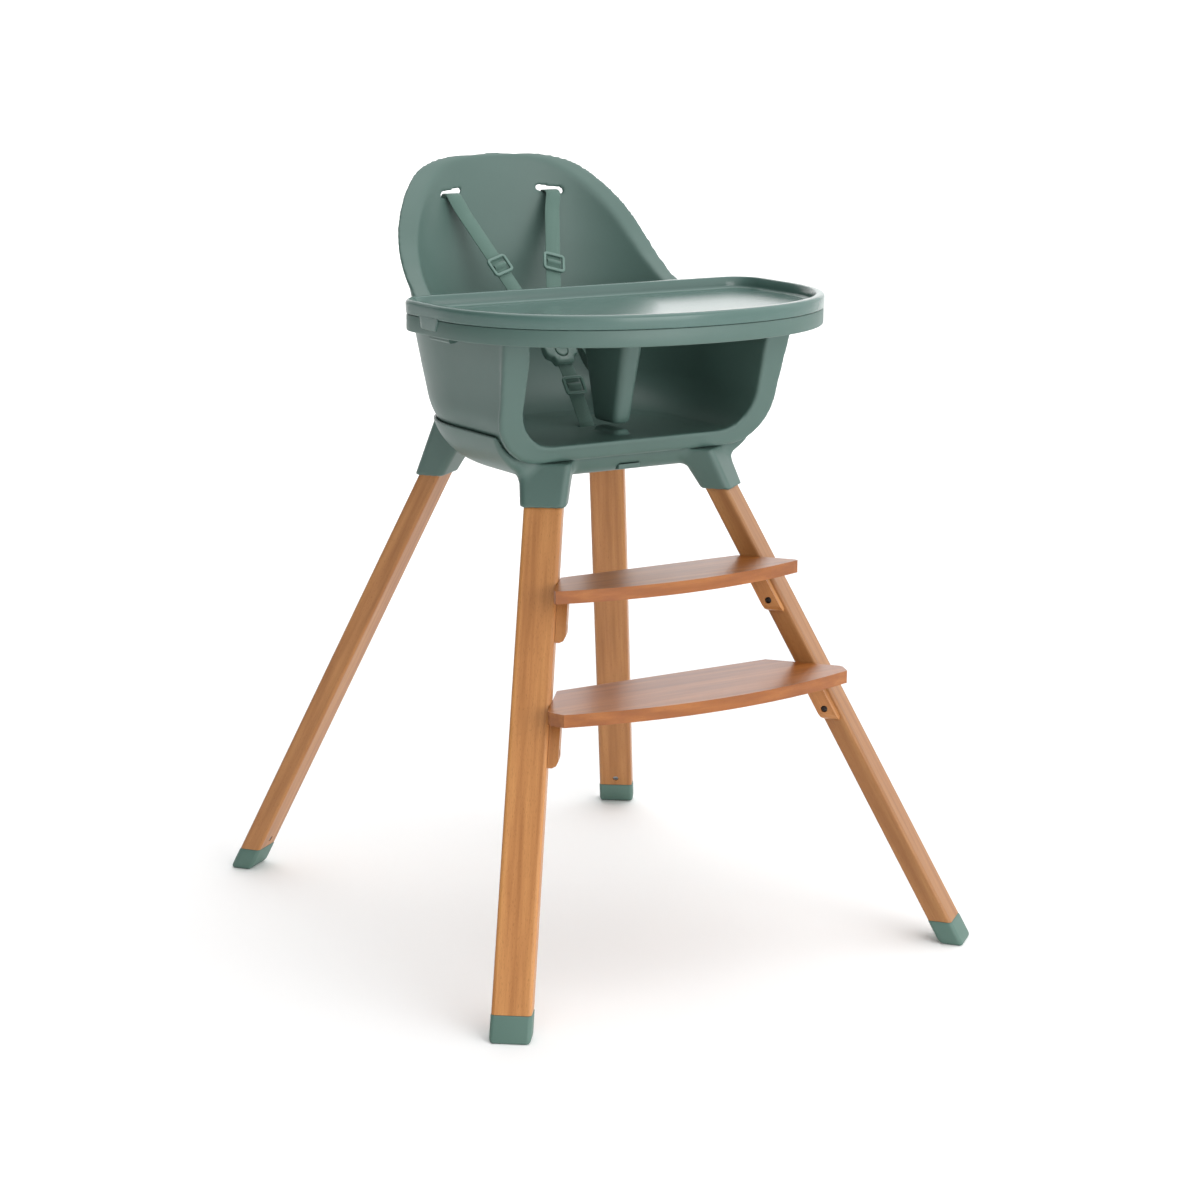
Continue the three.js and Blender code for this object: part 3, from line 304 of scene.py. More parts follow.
def common(a, b, melt):
    return -join(-a, -b, melt)


def rounded_box(a, b, half_a, half_b, radius):
    """Field of a rounded rectangle in two coordinates."""
    p, q = np.abs(a) - half_a + radius, np.abs(b) - half_b + radius
    return np.hypot(np.maximum(p, 0), np.maximum(q, 0)) + np.minimum(np.maximum(p, q), 0) - radius


def under_rim(space, down):
    """Everything under the rim, lowered along its slope."""
    y = np.array([p[0] for p in RIM], float) + 0.75 * down
    z = np.array([p[1] for p in RIM], float) - 0.75 * down
    fine = np.arange(-300, 300, 1.0)
    line = np.interp(fine, y, z)
    kernel = np.hanning(25)
    line = np.convolve(np.pad(line, 12, mode="edge"), kernel / kernel.sum(), mode="valid")
    return space.even(space.z - np.interp(space.y, fine, line))


def front_face(space):
    """Behind the leaning plane of the front frame."""
    return (FACE_Y - FACE_LEAN * (space.z - 590) - space.y) / math.hypot(1, FACE_LEAN)


def front_frame(space, grow=0.0, ahead=False):
    """The U-shaped frame, or with ahead everything in front of it as well."""
    face = front_face(space)
    slab = -face - FACE_DEEP - grow if ahead else np.maximum(face - grow, -face - FACE_DEEP - grow)
    half = FRONT_HALF + grow + FRONT_FLARE * np.clip((space.z - 647) / 95, 0, 1)
    outline = rounded_box(space.x, space.z - 720, half, 135 + grow, FRONT_ROUND + grow)
    return common(np.maximum(outline, space.z - ARM_TOP - grow), slab, 3.0)


def seat_field(space):
    bucket = np.maximum(space.plan(bucket_size(space.z), BUCKET_PLAN), FLOOR - space.z)
    lining = np.maximum(space.plan(bucket_size(space.z, BACK_WALL), BUCKET_PLAN),
                        FLOOR - BACK_WALL - space.z)
    skin = space.plan(skin_size(space.z), SKIN_PLAN)
    face = front_face(space)
    rim = under_rim(space, 0)
    body = common(common(skin, rim, 3.5), face + 2, 2.0)
    body = np.maximum(body, SKIN_FOOT - space.z)
    body = join(body, np.maximum(lining, face), 1.5)
    body = join(body, front_frame(space), 3.0)
    body = common(np.maximum(body, rim), -bucket, 3.2)
    # behind the flange the moulding is a single wall with a turned-down lip
    shelf = ARM_TOP + 6 - space.z
    behind = np.maximum(np.maximum(under_rim(space, 13), shelf), -lining)
    channel = np.maximum(np.maximum(skin + WALL, under_rim(space, 4.5)), np.maximum(shelf, -lining))
    body = common(body, -np.minimum(behind, channel), 1.0)
    for side in (-1, 1):
        across, up = space.x - side * SLOT["x"], space.z - SLOT["z"]
        along = across * math.cos(SLOT["tilt"]) - side * up * math.sin(SLOT["tilt"])
        over = up * math.cos(SLOT["tilt"]) + side * across * math.sin(SLOT["tilt"])
        slot = rounded_box(along, over, SLOT["wide"] / 2, SLOT["high"] / 2, SLOT["corner"])
        body = common(body, -np.maximum(slot, 120 - space.y), 0.8)
        run, inward, at = lap_axes(side)
        along = (space.x - at.x) * run.x + (space.y - at.y) * run.y
        depth = (space.x - at.x) * inward.x + (space.y - at.y) * inward.y
        slot = rounded_box(along, space.z - LAP_SLOT["z"], LAP_SLOT["wide"] / 2,
                           LAP_SLOT["high"] / 2, LAP_SLOT["corner"])
        body = common(body, -np.maximum(slot, np.abs(depth) - 12), 0.8)
    pad = rounded_box(space.x, space.y - POST_Y, PAD["wide"] / 2, PAD["deep"] / 2, PAD["corner"])
    height = np.maximum(space.z - FLOOR - PAD["high"], FLOOR - 2 - space.z)
    body = join(body, common(pad, height, 2.0), 1.5)
    crotch = rounded_box(space.x, space.y - CROTCH_SLOT["y"], CROTCH_SLOT["wide"] / 2,
                         CROTCH_SLOT["high"] / 2, CROTCH_SLOT["corner"])
    return common(body, -np.maximum(crotch, space.z - 640), 0.8)


def seat():
    space = Block((-214, -168, 582), (214, 222, 926), 2.5)
    piece = space.mesh("seat_moulding", seat_field(space), 4)
    piece.data.materials.append(shell_plastic)
    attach(piece, "seat")
    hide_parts("seat_shell")


seat()

# ---------------------------------------------------------------- chassis
# A shallow polypropylene bowl that carries the seat. Each leg ends in a socket that flares
# into the bowl with a soft fillet. A slit under its front edge takes the release lever.

BOWL = {"bottom": 563.0, "lip": 619.0, "round": 75.0, "front": -108.5, "clear": 0.8,
        "deck": 588.0}
LEG = {"wide": 45.0, "thick": 25.0, "round": 4.0, "end": 577.0, "top": 624.0}
SOCKET = {"bottom": 536.0, "wall": 3.8, "flare": 7.0, "top": 616.0, "fit": 0.4}
LEVER = {"wide": 30.0, "high": 5.0, "z": 567.5, "clear": 0.8}
LEGS = {"front": ((312.0, -356.0), (94.0, -78.0)), "rear": ((286.0, 356.0), (98.0, 101.0))}


def leg_axis(end, side):
    """Foot, head and axes of a leg: along it, across its broad face, and out from the middle."""
    (fx, fy), (tx, ty) = LEGS[end]
    foot, head = Vector((side * fx, fy, 0)), Vector((side * tx, ty, LEG["top"]))
    axis = (head - foot).normalized()
    outward = Vector((foot.x - head.x, foot.y - head.y, 0)).normalized()
    broad = outward.cross(axis).normalized()
    return foot, head, axis, broad, outward


def leg_coordinates(space, end, side):
    foot, head, axis, broad, outward = leg_axis(end, side)
    t = space.z / LEG["top"]
    dx, dy = space.x - foot.x - (head.x - foot.x) * t, space.y - foot.y - (head.y - foot.y) * t
    return dx * broad.x + dy * broad.y, (dx * outward.x + dy * outward.y) * axis.z


def bowl_size(z, grow):
    lip = skin_size(np.array(BOWL["lip"]), BOWL["clear"] + WALL + grow)
    radius, bottom = BOWL["round"] + grow, BOWL["bottom"] - grow
    draw = edge_round(np.array(BOWL["lip"]), bottom, radius) - edge_round(z, bottom, radius)
    return lip[0] + draw, lip[1] + draw


def bowl(space, grow):
    front = BOWL["front"] - grow + 0.5 * edge_round(space.z, BOWL["bottom"] - grow, 30)
    field = np.maximum(space.plan(bowl_size(space.z, grow), SKIN_PLAN),
                       BOWL["bottom"] - grow - space.z)
    return common(field, space.even(np.broadcast_to(front - space.y, space.shape)), 6.0)


def chassis_field(space):
    body = np.maximum(bowl(space, 0), space.z - BOWL["lip"])
    hollow = bowl(space, -WALL)
    pockets = np.full(space.shape, 40.0)
    for end in LEGS:
        for side in (-1, 1):
            a, b = leg_coordinates(space, end, side)
            grow = SOCKET["flare"] * np.clip((space.z - SOCKET["bottom"]) / 80, 0, 1)
            wide = LEG["wide"] / 2 + SOCKET["fit"] + SOCKET["wall"] + grow
            thick = LEG["thick"] / 2 + SOCKET["fit"] + SOCKET["wall"] + grow
            sleeve = rounded_box(a, b, wide, thick, LEG["round"] + SOCKET["wall"])
            length = np.maximum(SOCKET["bottom"] - space.z, space.z - SOCKET["top"])
            sleeve = common(sleeve, length, 1.6)
            body = join(body, sleeve, 9.0)
            room = rounded_box(a, b, LEG["wide"] / 2 + SOCKET["fit"],
                               LEG["thick"] / 2 + SOCKET["fit"], LEG["round"])
            pockets = np.minimum(pockets, np.maximum(room, space.z - LEG["end"]))
    seat_room = np.maximum(space.plan(skin_size(space.z, BOWL["clear"]), SKIN_PLAN),
                           SKIN_FOOT - 1 - space.z)
    seat_room = np.maximum(seat_room, front_face(space) - BOWL["clear"])
    body = common(body, -np.minimum(seat_room, front_frame(space, BOWL["clear"], True)), 1.0)
    body = np.maximum(body, -np.maximum(hollow, BOWL["deck"] - space.z))
    body = common(body, -pockets, 0.8)
    slit = rounded_box(space.x, space.z - LEVER["z"] - LEVER["high"] / 2,
                       LEVER["wide"] / 2 + LEVER["clear"], LEVER["high"] / 2 + LEVER["clear"], 1.5)
    return common(body, -np.maximum(slit, space.y + 70), 0.6)


def chassis():
    space = Block((-206, -166, 530), (206, 186, 626), 2.0)
    piece = space.mesh("chassis_moulding", chassis_field(space), 1)
    piece.data.materials.append(shell_plastic)
    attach(piece, "frame")
    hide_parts("seat_chassis")


chassis()
dress("seat_release_lever", shell_plastic)

# ---------------------------------------------------------------- beech legs, boards and cleats
# Steamed beech, planed, sanded and sealed with a clear satin varnish. Fine fibre runs along
# each piece, with short dark ray flecks about 3 mm long and slow bands of colour.

BEECH_LIGHT, BEECH_MID, BEECH_DARK, BEECH_FLECK = "#C68C52", "#B97E48", "#A66D3A", "#7E5026"
FIBRE, BAND, FLECK_LONG, FLECK_WIDE = 0.5, 9.0, 5.0, 0.7


def beech(name, along, seed, shades, roughness=0.42, plank_and_shade_tone=1.0):
    """Beech with its grain along a direction; seed moves it to another part of the tree, and
    plank_and_shade_tone scales its colours: a paler or darker plank, and painted light and shade."""
    # Scaling by the tone gives each leg painted light or shade as well as its plank's own paleness.
    pale, mid, dark = [[c * plank_and_shade_tone for c in linear(shade)[:3]] + [1.0] for shade in shades]
    made, tree, surface = finish_of(name, IOR=1.46, Coat_Weight=0.12, Coat_Roughness=0.2)
    where = put(tree, "ShaderNodeTexCoord").outputs["Object"]
    turn = along.to_track_quat("X", "Z").to_matrix().inverted().to_euler()
    local = put(tree, "ShaderNodeMapping", Vector=where, Rotation=turn,
                Location=(seed, seed * 1.7, seed * 0.6)).outputs[0]

    def streaks(long, wide, detail):
        scale = (1 / (long * MM), 1 / (wide * MM), 1 / (wide * MM))
        scaled = put(tree, "ShaderNodeMapping", Vector=local, Scale=scale).outputs[0]
        noise = put(tree, "ShaderNodeTexNoise", Vector=scaled, Scale=1.0, Detail=detail)
        return noise.outputs["Fac"]

    bands = streaks(BAND * 22, BAND, 3.0)
    fibre = streaks(FIBRE * 60, FIBRE * 2, 4.0)
    flecks = streaks(FLECK_LONG, FLECK_WIDE, 1.0)
    base = put(tree, "ShaderNodeValToRGB", Fac=bands)
    ramp = base.color_ramp.elements
    ramp[0].position, ramp[0].color = 0.32, pale
    ramp[1].position, ramp[1].color = 0.7, dark
    middle = ramp.new(0.5)
    middle.color = mid
    thin = put(tree, "ShaderNodeMapRange", Value=fibre, _1=0.35, _2=0.7, _3=0.0, _4=0.28)
    combed = put(tree, "ShaderNodeMix", {"data_type": "RGBA"}, _0=thin.outputs[0],
                 _6=base.outputs[0], _7=dark)
    spots = put(tree, "ShaderNodeMapRange", Value=flecks, _1=0.6, _2=0.74, _3=0.0, _4=0.42)
    flecked = put(tree, "ShaderNodeMix", {"data_type": "RGBA"}, _0=spots.outputs[0],
                  _6=combed.outputs[2], _7=linear(BEECH_FLECK))
    tree.links.new(flecked.outputs[2], surface.inputs["Base Color"])
    gloss = put(tree, "ShaderNodeMapRange", Value=fibre, _3=roughness - 0.05, _4=roughness + 0.07)
    tree.links.new(gloss.outputs[0], surface.inputs["Roughness"])
    bump = put(tree, "ShaderNodeBump", Height=fibre, Strength=0.25, Distance=0.05 * MM)
    tree.links.new(bump.outputs["Normal"], surface.inputs["Normal"])
    return made


LEG_SHADES = (BEECH_LIGHT, BEECH_MID, BEECH_DARK)
BOARD_SHADES = ("#A8672F", "#9A5A26", "#8A4E20")
CORNERS = [(end, hand, side) for end in LEGS for hand, side in (("left", -1), ("right", 1))]

LEG_PLANK_AND_SHADE_TONES = (1.06, 0.74, 0.88, 0.86)           # each leg is from another plank, and its tone also paints light and shade: darkest on the front right leg, whose seen faces turn from the light
for count, ((end, hand, side), plank_and_shade_tone) in enumerate(zip(CORNERS, LEG_PLANK_AND_SHADE_TONES)):
    along, seed = leg_axis(end, side)[2], 0.37 * count + 0.11
    wood = beech(f"varnished_beech_leg_{end}_{hand}", along, seed, LEG_SHADES, plank_and_shade_tone=plank_and_shade_tone)
    dress(f"leg_{end}_{hand}", wood)


def soften(node, width, segments=3):
    """Sanded or moulded edges, rounded to a width in millimetres."""
    bevel = nodes[node].modifiers.new("sanded_edges", "BEVEL")
    bevel.width, bevel.segments, bevel.limit_method = width * MM, segments, "ANGLE"
    bevel.angle_limit = math.radians(40)
    bevel.harden_normals = False


board_beech = beech("varnished_beech_board", Vector((1, 0, 0)), 2.3, BOARD_SHADES, 0.33)
for name in ("upper", "lower"):
    dress(f"step_{name}", board_beech)
    soften(f"step_{name}", 2.2, 4)
    for hand, side in (("left", -1), ("right", 1)):
        along, label = leg_axis("front", side)[2], f"{name}_{hand}"
        wood = beech(f"varnished_beech_cleat_{label}", along, side + 3.1, LEG_SHADES)
        dress(f"step_cleat_{label}", wood)
        soften(f"step_cleat_{name}_{hand}", 1.2)

# ---------------------------------------------------------------- screws and springs
# Zinc-plated steel, turned and dulled by handling. The socket screws that show, in the legs
# and cleats, are blackened.


def zinc(name, bright, dull):
    made, tree, surface = finish_of(name, Metallic=1.0)
    where = put(tree, "ShaderNodeTexCoord").outputs["Object"]
    crystals = put(tree, "ShaderNodeTexVoronoi", Vector=where, Scale=1 / (0.8 * MM))
    tint = put(tree, "ShaderNodeMix", {"data_type": "RGBA"}, _0=crystals.outputs["Distance"],
               _6=linear(bright), _7=linear(dull))
    tree.links.new(tint.outputs[2], surface.inputs["Base Color"])
    gloss = put(tree, "ShaderNodeMapRange", Value=crystals.outputs["Distance"], _3=0.28, _4=0.42)
    tree.links.new(gloss.outputs[0], surface.inputs["Roughness"])
    return made


plated_steel = zinc("zinc_plated_steel", "#9EA0A2", "#7C7F82")
blackened_steel = zinc("blackened_steel", "#4A4542", "#393432")
for node in nodes:
    if "spring" in node or "screw" in node:
        dress(node, blackened_steel if "cleat" in node or "leg_screw" in node else plated_steel)

# ---------------------------------------------------------------- foot caps
# Soft-touch moulded caps, pushed on the leg ends and screwed from inside. Their lower edges
# are rounded so that they don't scrape when the chair is dragged.

CAP = {"proud": 0.6, "corner": 5.0}
# height up the leg, and how far the cap has drawn in there
CAP_STATIONS = [(0, 4.2), (0.5, 2.6), (1.6, 1.2), (3.4, 0.35), (6, 0), (26.6, 0), (27.5, 0.5),
                (27.7, 1.4)]


def rounded_ring(wide, deep, radius, steps=6):
    """A rounded rectangle as flat points, counter-clockwise."""
    ring = []
    for quarter in range(4):
        cx = (wide / 2 - radius) * (1 if quarter in (0, 3) else -1)
        cy = (deep / 2 - radius) * (1 if quarter in (0, 1) else -1)
        angles = [math.pi / 2 * (quarter + i / steps) for i in range(steps + 1)]
        ring += [(cx + radius * math.cos(a), cy + radius * math.sin(a)) for a in angles]
    return ring


def loft(name, rings):
    """A closed skin over rings of equal count, in millimetres, with a flat cap at each end."""
    count = len(rings[0])
    points = [tuple(c * MM for c in p) for ring in rings for p in ring]
    last = (len(rings) - 1) * count
    faces = [tuple(reversed(range(count))), tuple(range(last, last + count))]
    for r in range(len(rings) - 1):
        for i in range(count):
            a, b = r * count + i, r * count + (i + 1) % count
            faces.append((a, b, b + count, a + count))
    return shape(name, points, faces)


def finish(piece, material, body, node=None, fold=40):
    """Gives a made piece its material, its body and the CAD node that it stands for."""
    piece.data.set_sharp_from_angle(angle=math.radians(fold))
    piece.data.materials.append(material)
    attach(piece, body)
    if node:
        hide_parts(node)


def foot_cap(end, hand, side):
    foot, head, axis, broad, outward = leg_axis(end, side)
    rings = []
    for z, inset in CAP_STATIONS:
        middle = foot.lerp(head, z / LEG["top"])
        grow = 2 * (CAP["proud"] - inset)
        corner = max(CAP["corner"] - inset, 1.5)
        flat = rounded_ring(LEG["wide"] + grow, LEG["thick"] + grow, corner)
        rings.append([middle + broad * a * side + outward * (b / axis.z) for a, b in flat])
    piece = loft(f"foot_cap_{end}_{hand}_moulding", rings)
    finish(piece, cap_plastic, "frame", f"foot_cap_{end}_{hand}")


cap_plastic = sage_plastic("moulded_foot_cap_elastomer", 0.52, 0.04, "#5A786E", "#537066")
for end, hand, side in CORNERS:
    foot_cap(end, hand, side)

# ---------------------------------------------------------------- tray
# Two polypropylene mouldings: a body with a skirt, and a glossier insert that lifts off by
# the grip tab on each side. The insert's rim stands round a recess 14 mm deep.

TRAY = {"half": 250.0, "back": 14.0, "front": -284.0, "round_y": -80.0, "corner": 42.0,
        "power": 2.2, "foot": 735.0, "seam": 754.5, "crest": 771.0, "floor": 747.5, "recess": 757.0}
TAB = {"from": -92.0, "to": -50.0, "drop": 13.0, "thick": 1.0, "proud": -0.25}
SKIRT = {"rise": 11.0, "from": -4.0, "run": 12.0, "arm": 216.0, "arm_run": 10.0}


def tray_ring(inset, z):
    """Plan outline of the tray drawn in by a distance, as points at a height."""
    wide, back, front = TRAY["half"] - inset, TRAY["back"] - inset, TRAY["front"] + inset
    corner = max(TRAY["corner"] - inset, 4)
    ring = []
    for i in range(121):
        angle = -math.pi + math.pi * i / 120
        c, s = math.cos(angle), math.sin(angle)
        ring.append((math.copysign(abs(c) ** (2 / TRAY["power"]), c) * wide,
                     TRAY["round_y"] - abs(s) ** (2 / TRAY["power"]) * (TRAY["round_y"] - front)))
    start = TRAY["round_y"]
    ring += [(wide, start + (back - corner - start) * i / 8) for i in range(1, 8)]
    arc = [math.pi / 2 * i / 12 for i in range(13)]
    span, behind = wide - corner, back - corner
    ring += [(span + corner * math.cos(a), behind + corner * math.sin(a)) for a in arc]
    ring += [(span - 2 * span * i / 60, back) for i in range(1, 60)]
    ring += [(-span - corner * math.sin(a), behind + corner * math.cos(a)) for a in arc]
    ring += [(-wide, back - corner + (start - back + corner) * i / 8) for i in range(1, 8)]
    return [(x, y, z(x, y) if callable(z) else z) for x, y in ring]


def fillet(corner, start, turn, radius, steps=5):
    """Arc stations of a profile about a centre, from a start angle, in degrees."""
    angles = [math.radians(start + turn * i / steps) for i in range(steps + 1)]
    return [(corner[0] + radius * math.cos(a), corner[1] + radius * math.sin(a)) for a in angles]


def tray_insert():
    crest, seam, floor = TRAY["crest"], TRAY["seam"], TRAY["recess"]
    # stations of inset and height, from the underside out, over the rim and into the recess
    profile = [(30, seam + 0.2), (2.2, seam + 0.2)]
    profile += fillet((1.9, seam + 1.5), 270, -90, 1.3, 3)
    profile += [(0.3, crest - 9)]
    profile += fillet((4.6, crest - 4.4), 180, -90, 4.4, 6)
    profile += fillet((8.6, crest - 2.2), 90, -62, 2.2, 4)
    profile += [(13.4, floor + 4.6)]
    profile += fillet((18.6, floor + 5.6), 200, 70, 5.6, 6)
    profile += [(24, floor), (34, floor)]
    piece = loft("tray_insert_moulding", [tray_ring(inset, z) for inset, z in profile])
    finish(piece, insert_plastic, "tray_insert", "tray_insert", 32)


def grip_tab(hand, side):
    """A flap of the insert that hangs over the skirt, to lift the insert by."""
    rings = []
    for i in range(25):
        y = TAB["from"] + (TAB["to"] - TAB["from"]) * i / 24
        near_end = min(y - TAB["from"], TAB["to"] - y)
        drop = TAB["drop"] * float(ease(np.array((near_end + 1.5) / 7)))
        low, high = TRAY["seam"] - drop, TRAY["seam"] + 1.5
        out = TRAY["half"] + TAB["proud"]
        back = out - TAB["thick"]
        section = [(out, high), (back, high), (back, low), (out - 0.9, low),
                   (out - 0.25, low + 0.3), (out, low + 1)]
        rings.append([(side * x, y, z) for x, z in (section if side > 0 else section[::-1])])
    piece = loft(f"tray_grip_tab_{hand}", rings)
    finish(piece, insert_plastic, "tray_insert", None)


def tray_skirt_foot(x, y):
    """Height of the skirt's edge, which rises at the back to clear the arms."""
    at_back = float(ease(np.array((y - SKIRT["from"]) / SKIRT["run"])))
    over_arm = float(ease(np.array((SKIRT["arm"] - abs(x)) / SKIRT["arm_run"])))
    return TRAY["foot"] + SKIRT["rise"] * (at_back * over_arm)


def tray_body():
    seam, floor = TRAY["seam"], TRAY["floor"]

    def inner(lift):
        return lambda x, y: min(tray_skirt_foot(x, y) + lift, floor - 0.2)

    def outer(lift):
        return lambda x, y: tray_skirt_foot(x, y) + lift

    # inset and height, from under the floor, down inside the skirt, round its foot and up
    stations = [(30, floor), (5.6, floor), (4.6, floor - 0.8), (4.4, inner(3)), (4.0, inner(0.6)),
                (3.2, outer(0)), (2.4, outer(0.1)), (1.6, outer(0.8)), (1.2, outer(2.2)),
                (1.2, seam - 1.6), (1.7, seam - 0.5), (2.6, seam - 0.2), (30, seam - 0.2)]
    piece = loft("tray_body_moulding", [tray_ring(inset, z) for inset, z in stations])
    finish(piece, shell_plastic, "tray", "tray_base", 32)


insert_plastic = sage_plastic("polished_moulded_polypropylene", 0.22, 0.008, "#53706A", "#4E6A63",
                              0.12)
tray_insert()
tray_body()
for hand, side in (("left", -1), ("right", 1)):
    grip_tab(hand, side)

# ---------------------------------------------------------------- crotch post
# A hollow polypropylene post, screwed under the tray, that tapers to the seat's floor.

# height, width, depth and corner of each section
POST_SECTIONS = [(618, 16, 42, 6), (619.3, 20.5, 47.5, 7), (621.8, 23, 51, 8),
                 (627, 24.2, 53.5, 8.5), (660, 26, 69, 9.5), (700, 28.6, 89, 10.5),
                 (735, 32, 107, 12), (747.2, 33, 112, 12)]


def crotch_post():
    rings = [[(x, POST_Y + y, z) for x, y in rounded_ring(wide, deep, radius, 8)]
             for z, wide, deep, radius in POST_SECTIONS]
    piece = loft("crotch_post_moulding", rings)
    finish(piece, shell_plastic, "tray", "crotch_post", 50)


crotch_post()
for hand in ("left", "right"):
    dress(f"tray_latch_{hand}", shell_plastic)
    soften(f"tray_latch_{hand}", 1.0)

# ---------------------------------------------------------------- harness webbing
# Woven polyester webbing, 20 mm wide and 1.6 mm thick, dyed to match the shell. Ribs run
# along it about 1.7 mm apart, and the weft crosses them in a fine herringbone.

WEB = {"wide": 20.0, "thick": 1.6, "rib": 1.7, "pick": 1.3}


def webbing_cloth():
    made, tree, surface = finish_of("woven_polyester_webbing", IOR=1.5, Roughness=0.78,
                                    Sheen_Weight=0.25, Sheen_Roughness=0.4)
    where = put(tree, "ShaderNodeUVMap", {"uv_map": "webbing"}).outputs[0]
    parts = put(tree, "ShaderNodeSeparateXYZ", Vector=where)
    ribs = put(tree, "ShaderNodeMath", {"operation": "PINGPONG"}, _0=parts.outputs[0],
               _1=WEB["rib"] / 2)
    ribs = put(tree, "ShaderNodeMath", {"operation": "MULTIPLY"}, _0=ribs.outputs[0],
               _1=2 / WEB["rib"])
    lean = put(tree, "ShaderNodeMath", {"operation": "ADD"}, _0=ribs.outputs[0],
               _1=parts.outputs[1])
    picks = put(tree, "ShaderNodeMath", {"operation": "PINGPONG"}, _0=lean.outputs[0],
                _1=WEB["pick"] / 2)
    picks = put(tree, "ShaderNodeMath", {"operation": "MULTIPLY"}, _0=picks.outputs[0],
                _1=2 / WEB["pick"])
    weave = put(tree, "ShaderNodeMath", {"operation": "MULTIPLY"}, _0=ribs.outputs[0],
                _1=picks.outputs[0])
    fuzz = put(tree, "ShaderNodeTexNoise", Vector=where, Scale=0.9, Detail=3.0)
    shade = put(tree, "ShaderNodeMix", {"data_type": "FLOAT"}, _0=0.35,
                _2=weave.outputs[0], _3=fuzz.outputs["Fac"])
    tint = put(tree, "ShaderNodeMix", {"data_type": "RGBA"}, _0=shade.outputs[0],
               _6=linear("#4A665D"), _7=linear("#6C8A80"))
    tree.links.new(tint.outputs[2], surface.inputs["Base Color"])
    bump = put(tree, "ShaderNodeBump", Height=weave.outputs[0], Strength=0.6, Distance=0.25 * MM)
    tree.links.new(bump.outputs["Normal"], surface.inputs["Normal"])
    return made


webbing = webbing_cloth()


def curve_through(points, steps=10):
    """A smooth line through a few points (Catmull-Rom)."""
    ends = [2 * points[0] - points[1]] + list(points) + [2 * points[-1] - points[-2]]
    line = []
    for a, b, c, d in zip(ends, ends[1:], ends[2:], ends[3:]):
        for i in range(steps):
            t = i / steps
            line.append(0.5 * ((2 * b) + (c - a) * t + (2 * a - 5 * b + 4 * c - d) * t**2
                               + (3 * b - a - 3 * c + d) * t**3))
    return line + [points[-1].copy()]


def gentle(points, reach=6.0, steps=8):
    """Straight runs between the points, with each corner eased over a few millimetres."""
    line = [points[0]]
    for before, corner, after in zip(points, points[1:], points[2:]):
        near = corner + (before - corner).normalized() * min(reach, (before - corner).length * 0.45)
        far = corner + (after - corner).normalized() * min(reach, (after - corner).length * 0.45)
        for i in range(steps + 1):
            t = i / steps
            line.append(near * (1 - t) ** 2 + corner * (2 * t * (1 - t)) + far * t**2)
    return line + [points[-1]]


SIDEWAYS = Vector((1, 0, 0))


def strap(name, line, body, node=None, across=lambda t: SIDEWAYS, wide=WEB["wide"]):
    """A band of webbing along a line, its edges rounded, with its weave in millimetres."""
    half, thick = wide / 2, WEB["thick"] / 2
    section = [(-half + 0.5, thick), (half - 0.5, thick), (half - 0.1, thick * 0.6), (half, 0),
               (half - 0.1, -thick * 0.6), (half - 0.5, -thick), (-half + 0.5, -thick),
               (-half + 0.1, -thick * 0.6), (-half, 0), (-half + 0.1, thick * 0.6)]
    rings, run, travelled = [], 0.0, []
    for i, point in enumerate(line):
        before, after = line[max(i - 1, 0)], line[min(i + 1, len(line) - 1)]
        forward = (after - before).normalized()
        side = across(i / (len(line) - 1))
        side = (side - forward * side.dot(forward)).normalized()
        face = forward.cross(side)
        rings.append([point + side * s + face * f for s, f in section])
        run += (point - before).length
        travelled.append(run)
    piece = loft(name, rings)
    layer = piece.data.uv_layers.new(name="webbing")
    for loop in piece.data.loops:
        row, place = divmod(loop.vertex_index, len(section))
        layer.data[loop.index].uv = (section[place][0] + half, travelled[row])
    finish(piece, webbing, body, node, 60)


TILT = math.radians(42)
BUCKLE_AT, BUCKLE_UP = Vector((0, 50, 686)), Vector((0, math.sin(TILT), math.cos(TILT)))
BUCKLE_FACE = Vector((0, -BUCKLE_UP.z, BUCKLE_UP.y))
BUCKLE_HIGH = 34.0
TONGUE = {"x": 12.5, "high": 24.0, "thick": 3.0}
LIE = TONGUE["thick"] / 2 + WEB["thick"] / 2 + 0.1     # webbing folded over the face of a tongue


def on_buckle(x, up, face):
    return BUCKLE_AT + SIDEWAYS * x + BUCKLE_UP * up + BUCKLE_FACE * face


def mirror(points):
    return [Vector((-p.x, p.y, p.z)) for p in points]


slot_wall = wall_back(bucket_size(np.array(SLOT["z"])), SLOT["x"])
tongue_top = on_buckle(TONGUE["x"], BUCKLE_HIGH / 2 + TONGUE["high"] + 4, 0)
slot_bend = Vector((SLOT["x"], slot_wall - 9, SLOT["z"] - 5))


def shoulder_points():
    """Through the slot, down with a little slack, straight where the slider moves, and
    folded over the tongue, where it is sewn down."""
    x, y, z = SLOT["x"], slot_wall, SLOT["z"]
    points = [Vector((x, y + 8, z - 8)), Vector((x, y + 6, z - 1)), Vector((x, y - 5, z - 1))]
    slack = [slot_bend.lerp(tongue_top, t) + Vector((0, 4, 0)) for t in (0.12, 0.72, 0.88)]
    sewn = [on_buckle(TONGUE["x"], up, LIE) for up in (37, 29)]
    return points + [slot_bend] + slack + [tongue_top + BUCKLE_FACE] + sewn


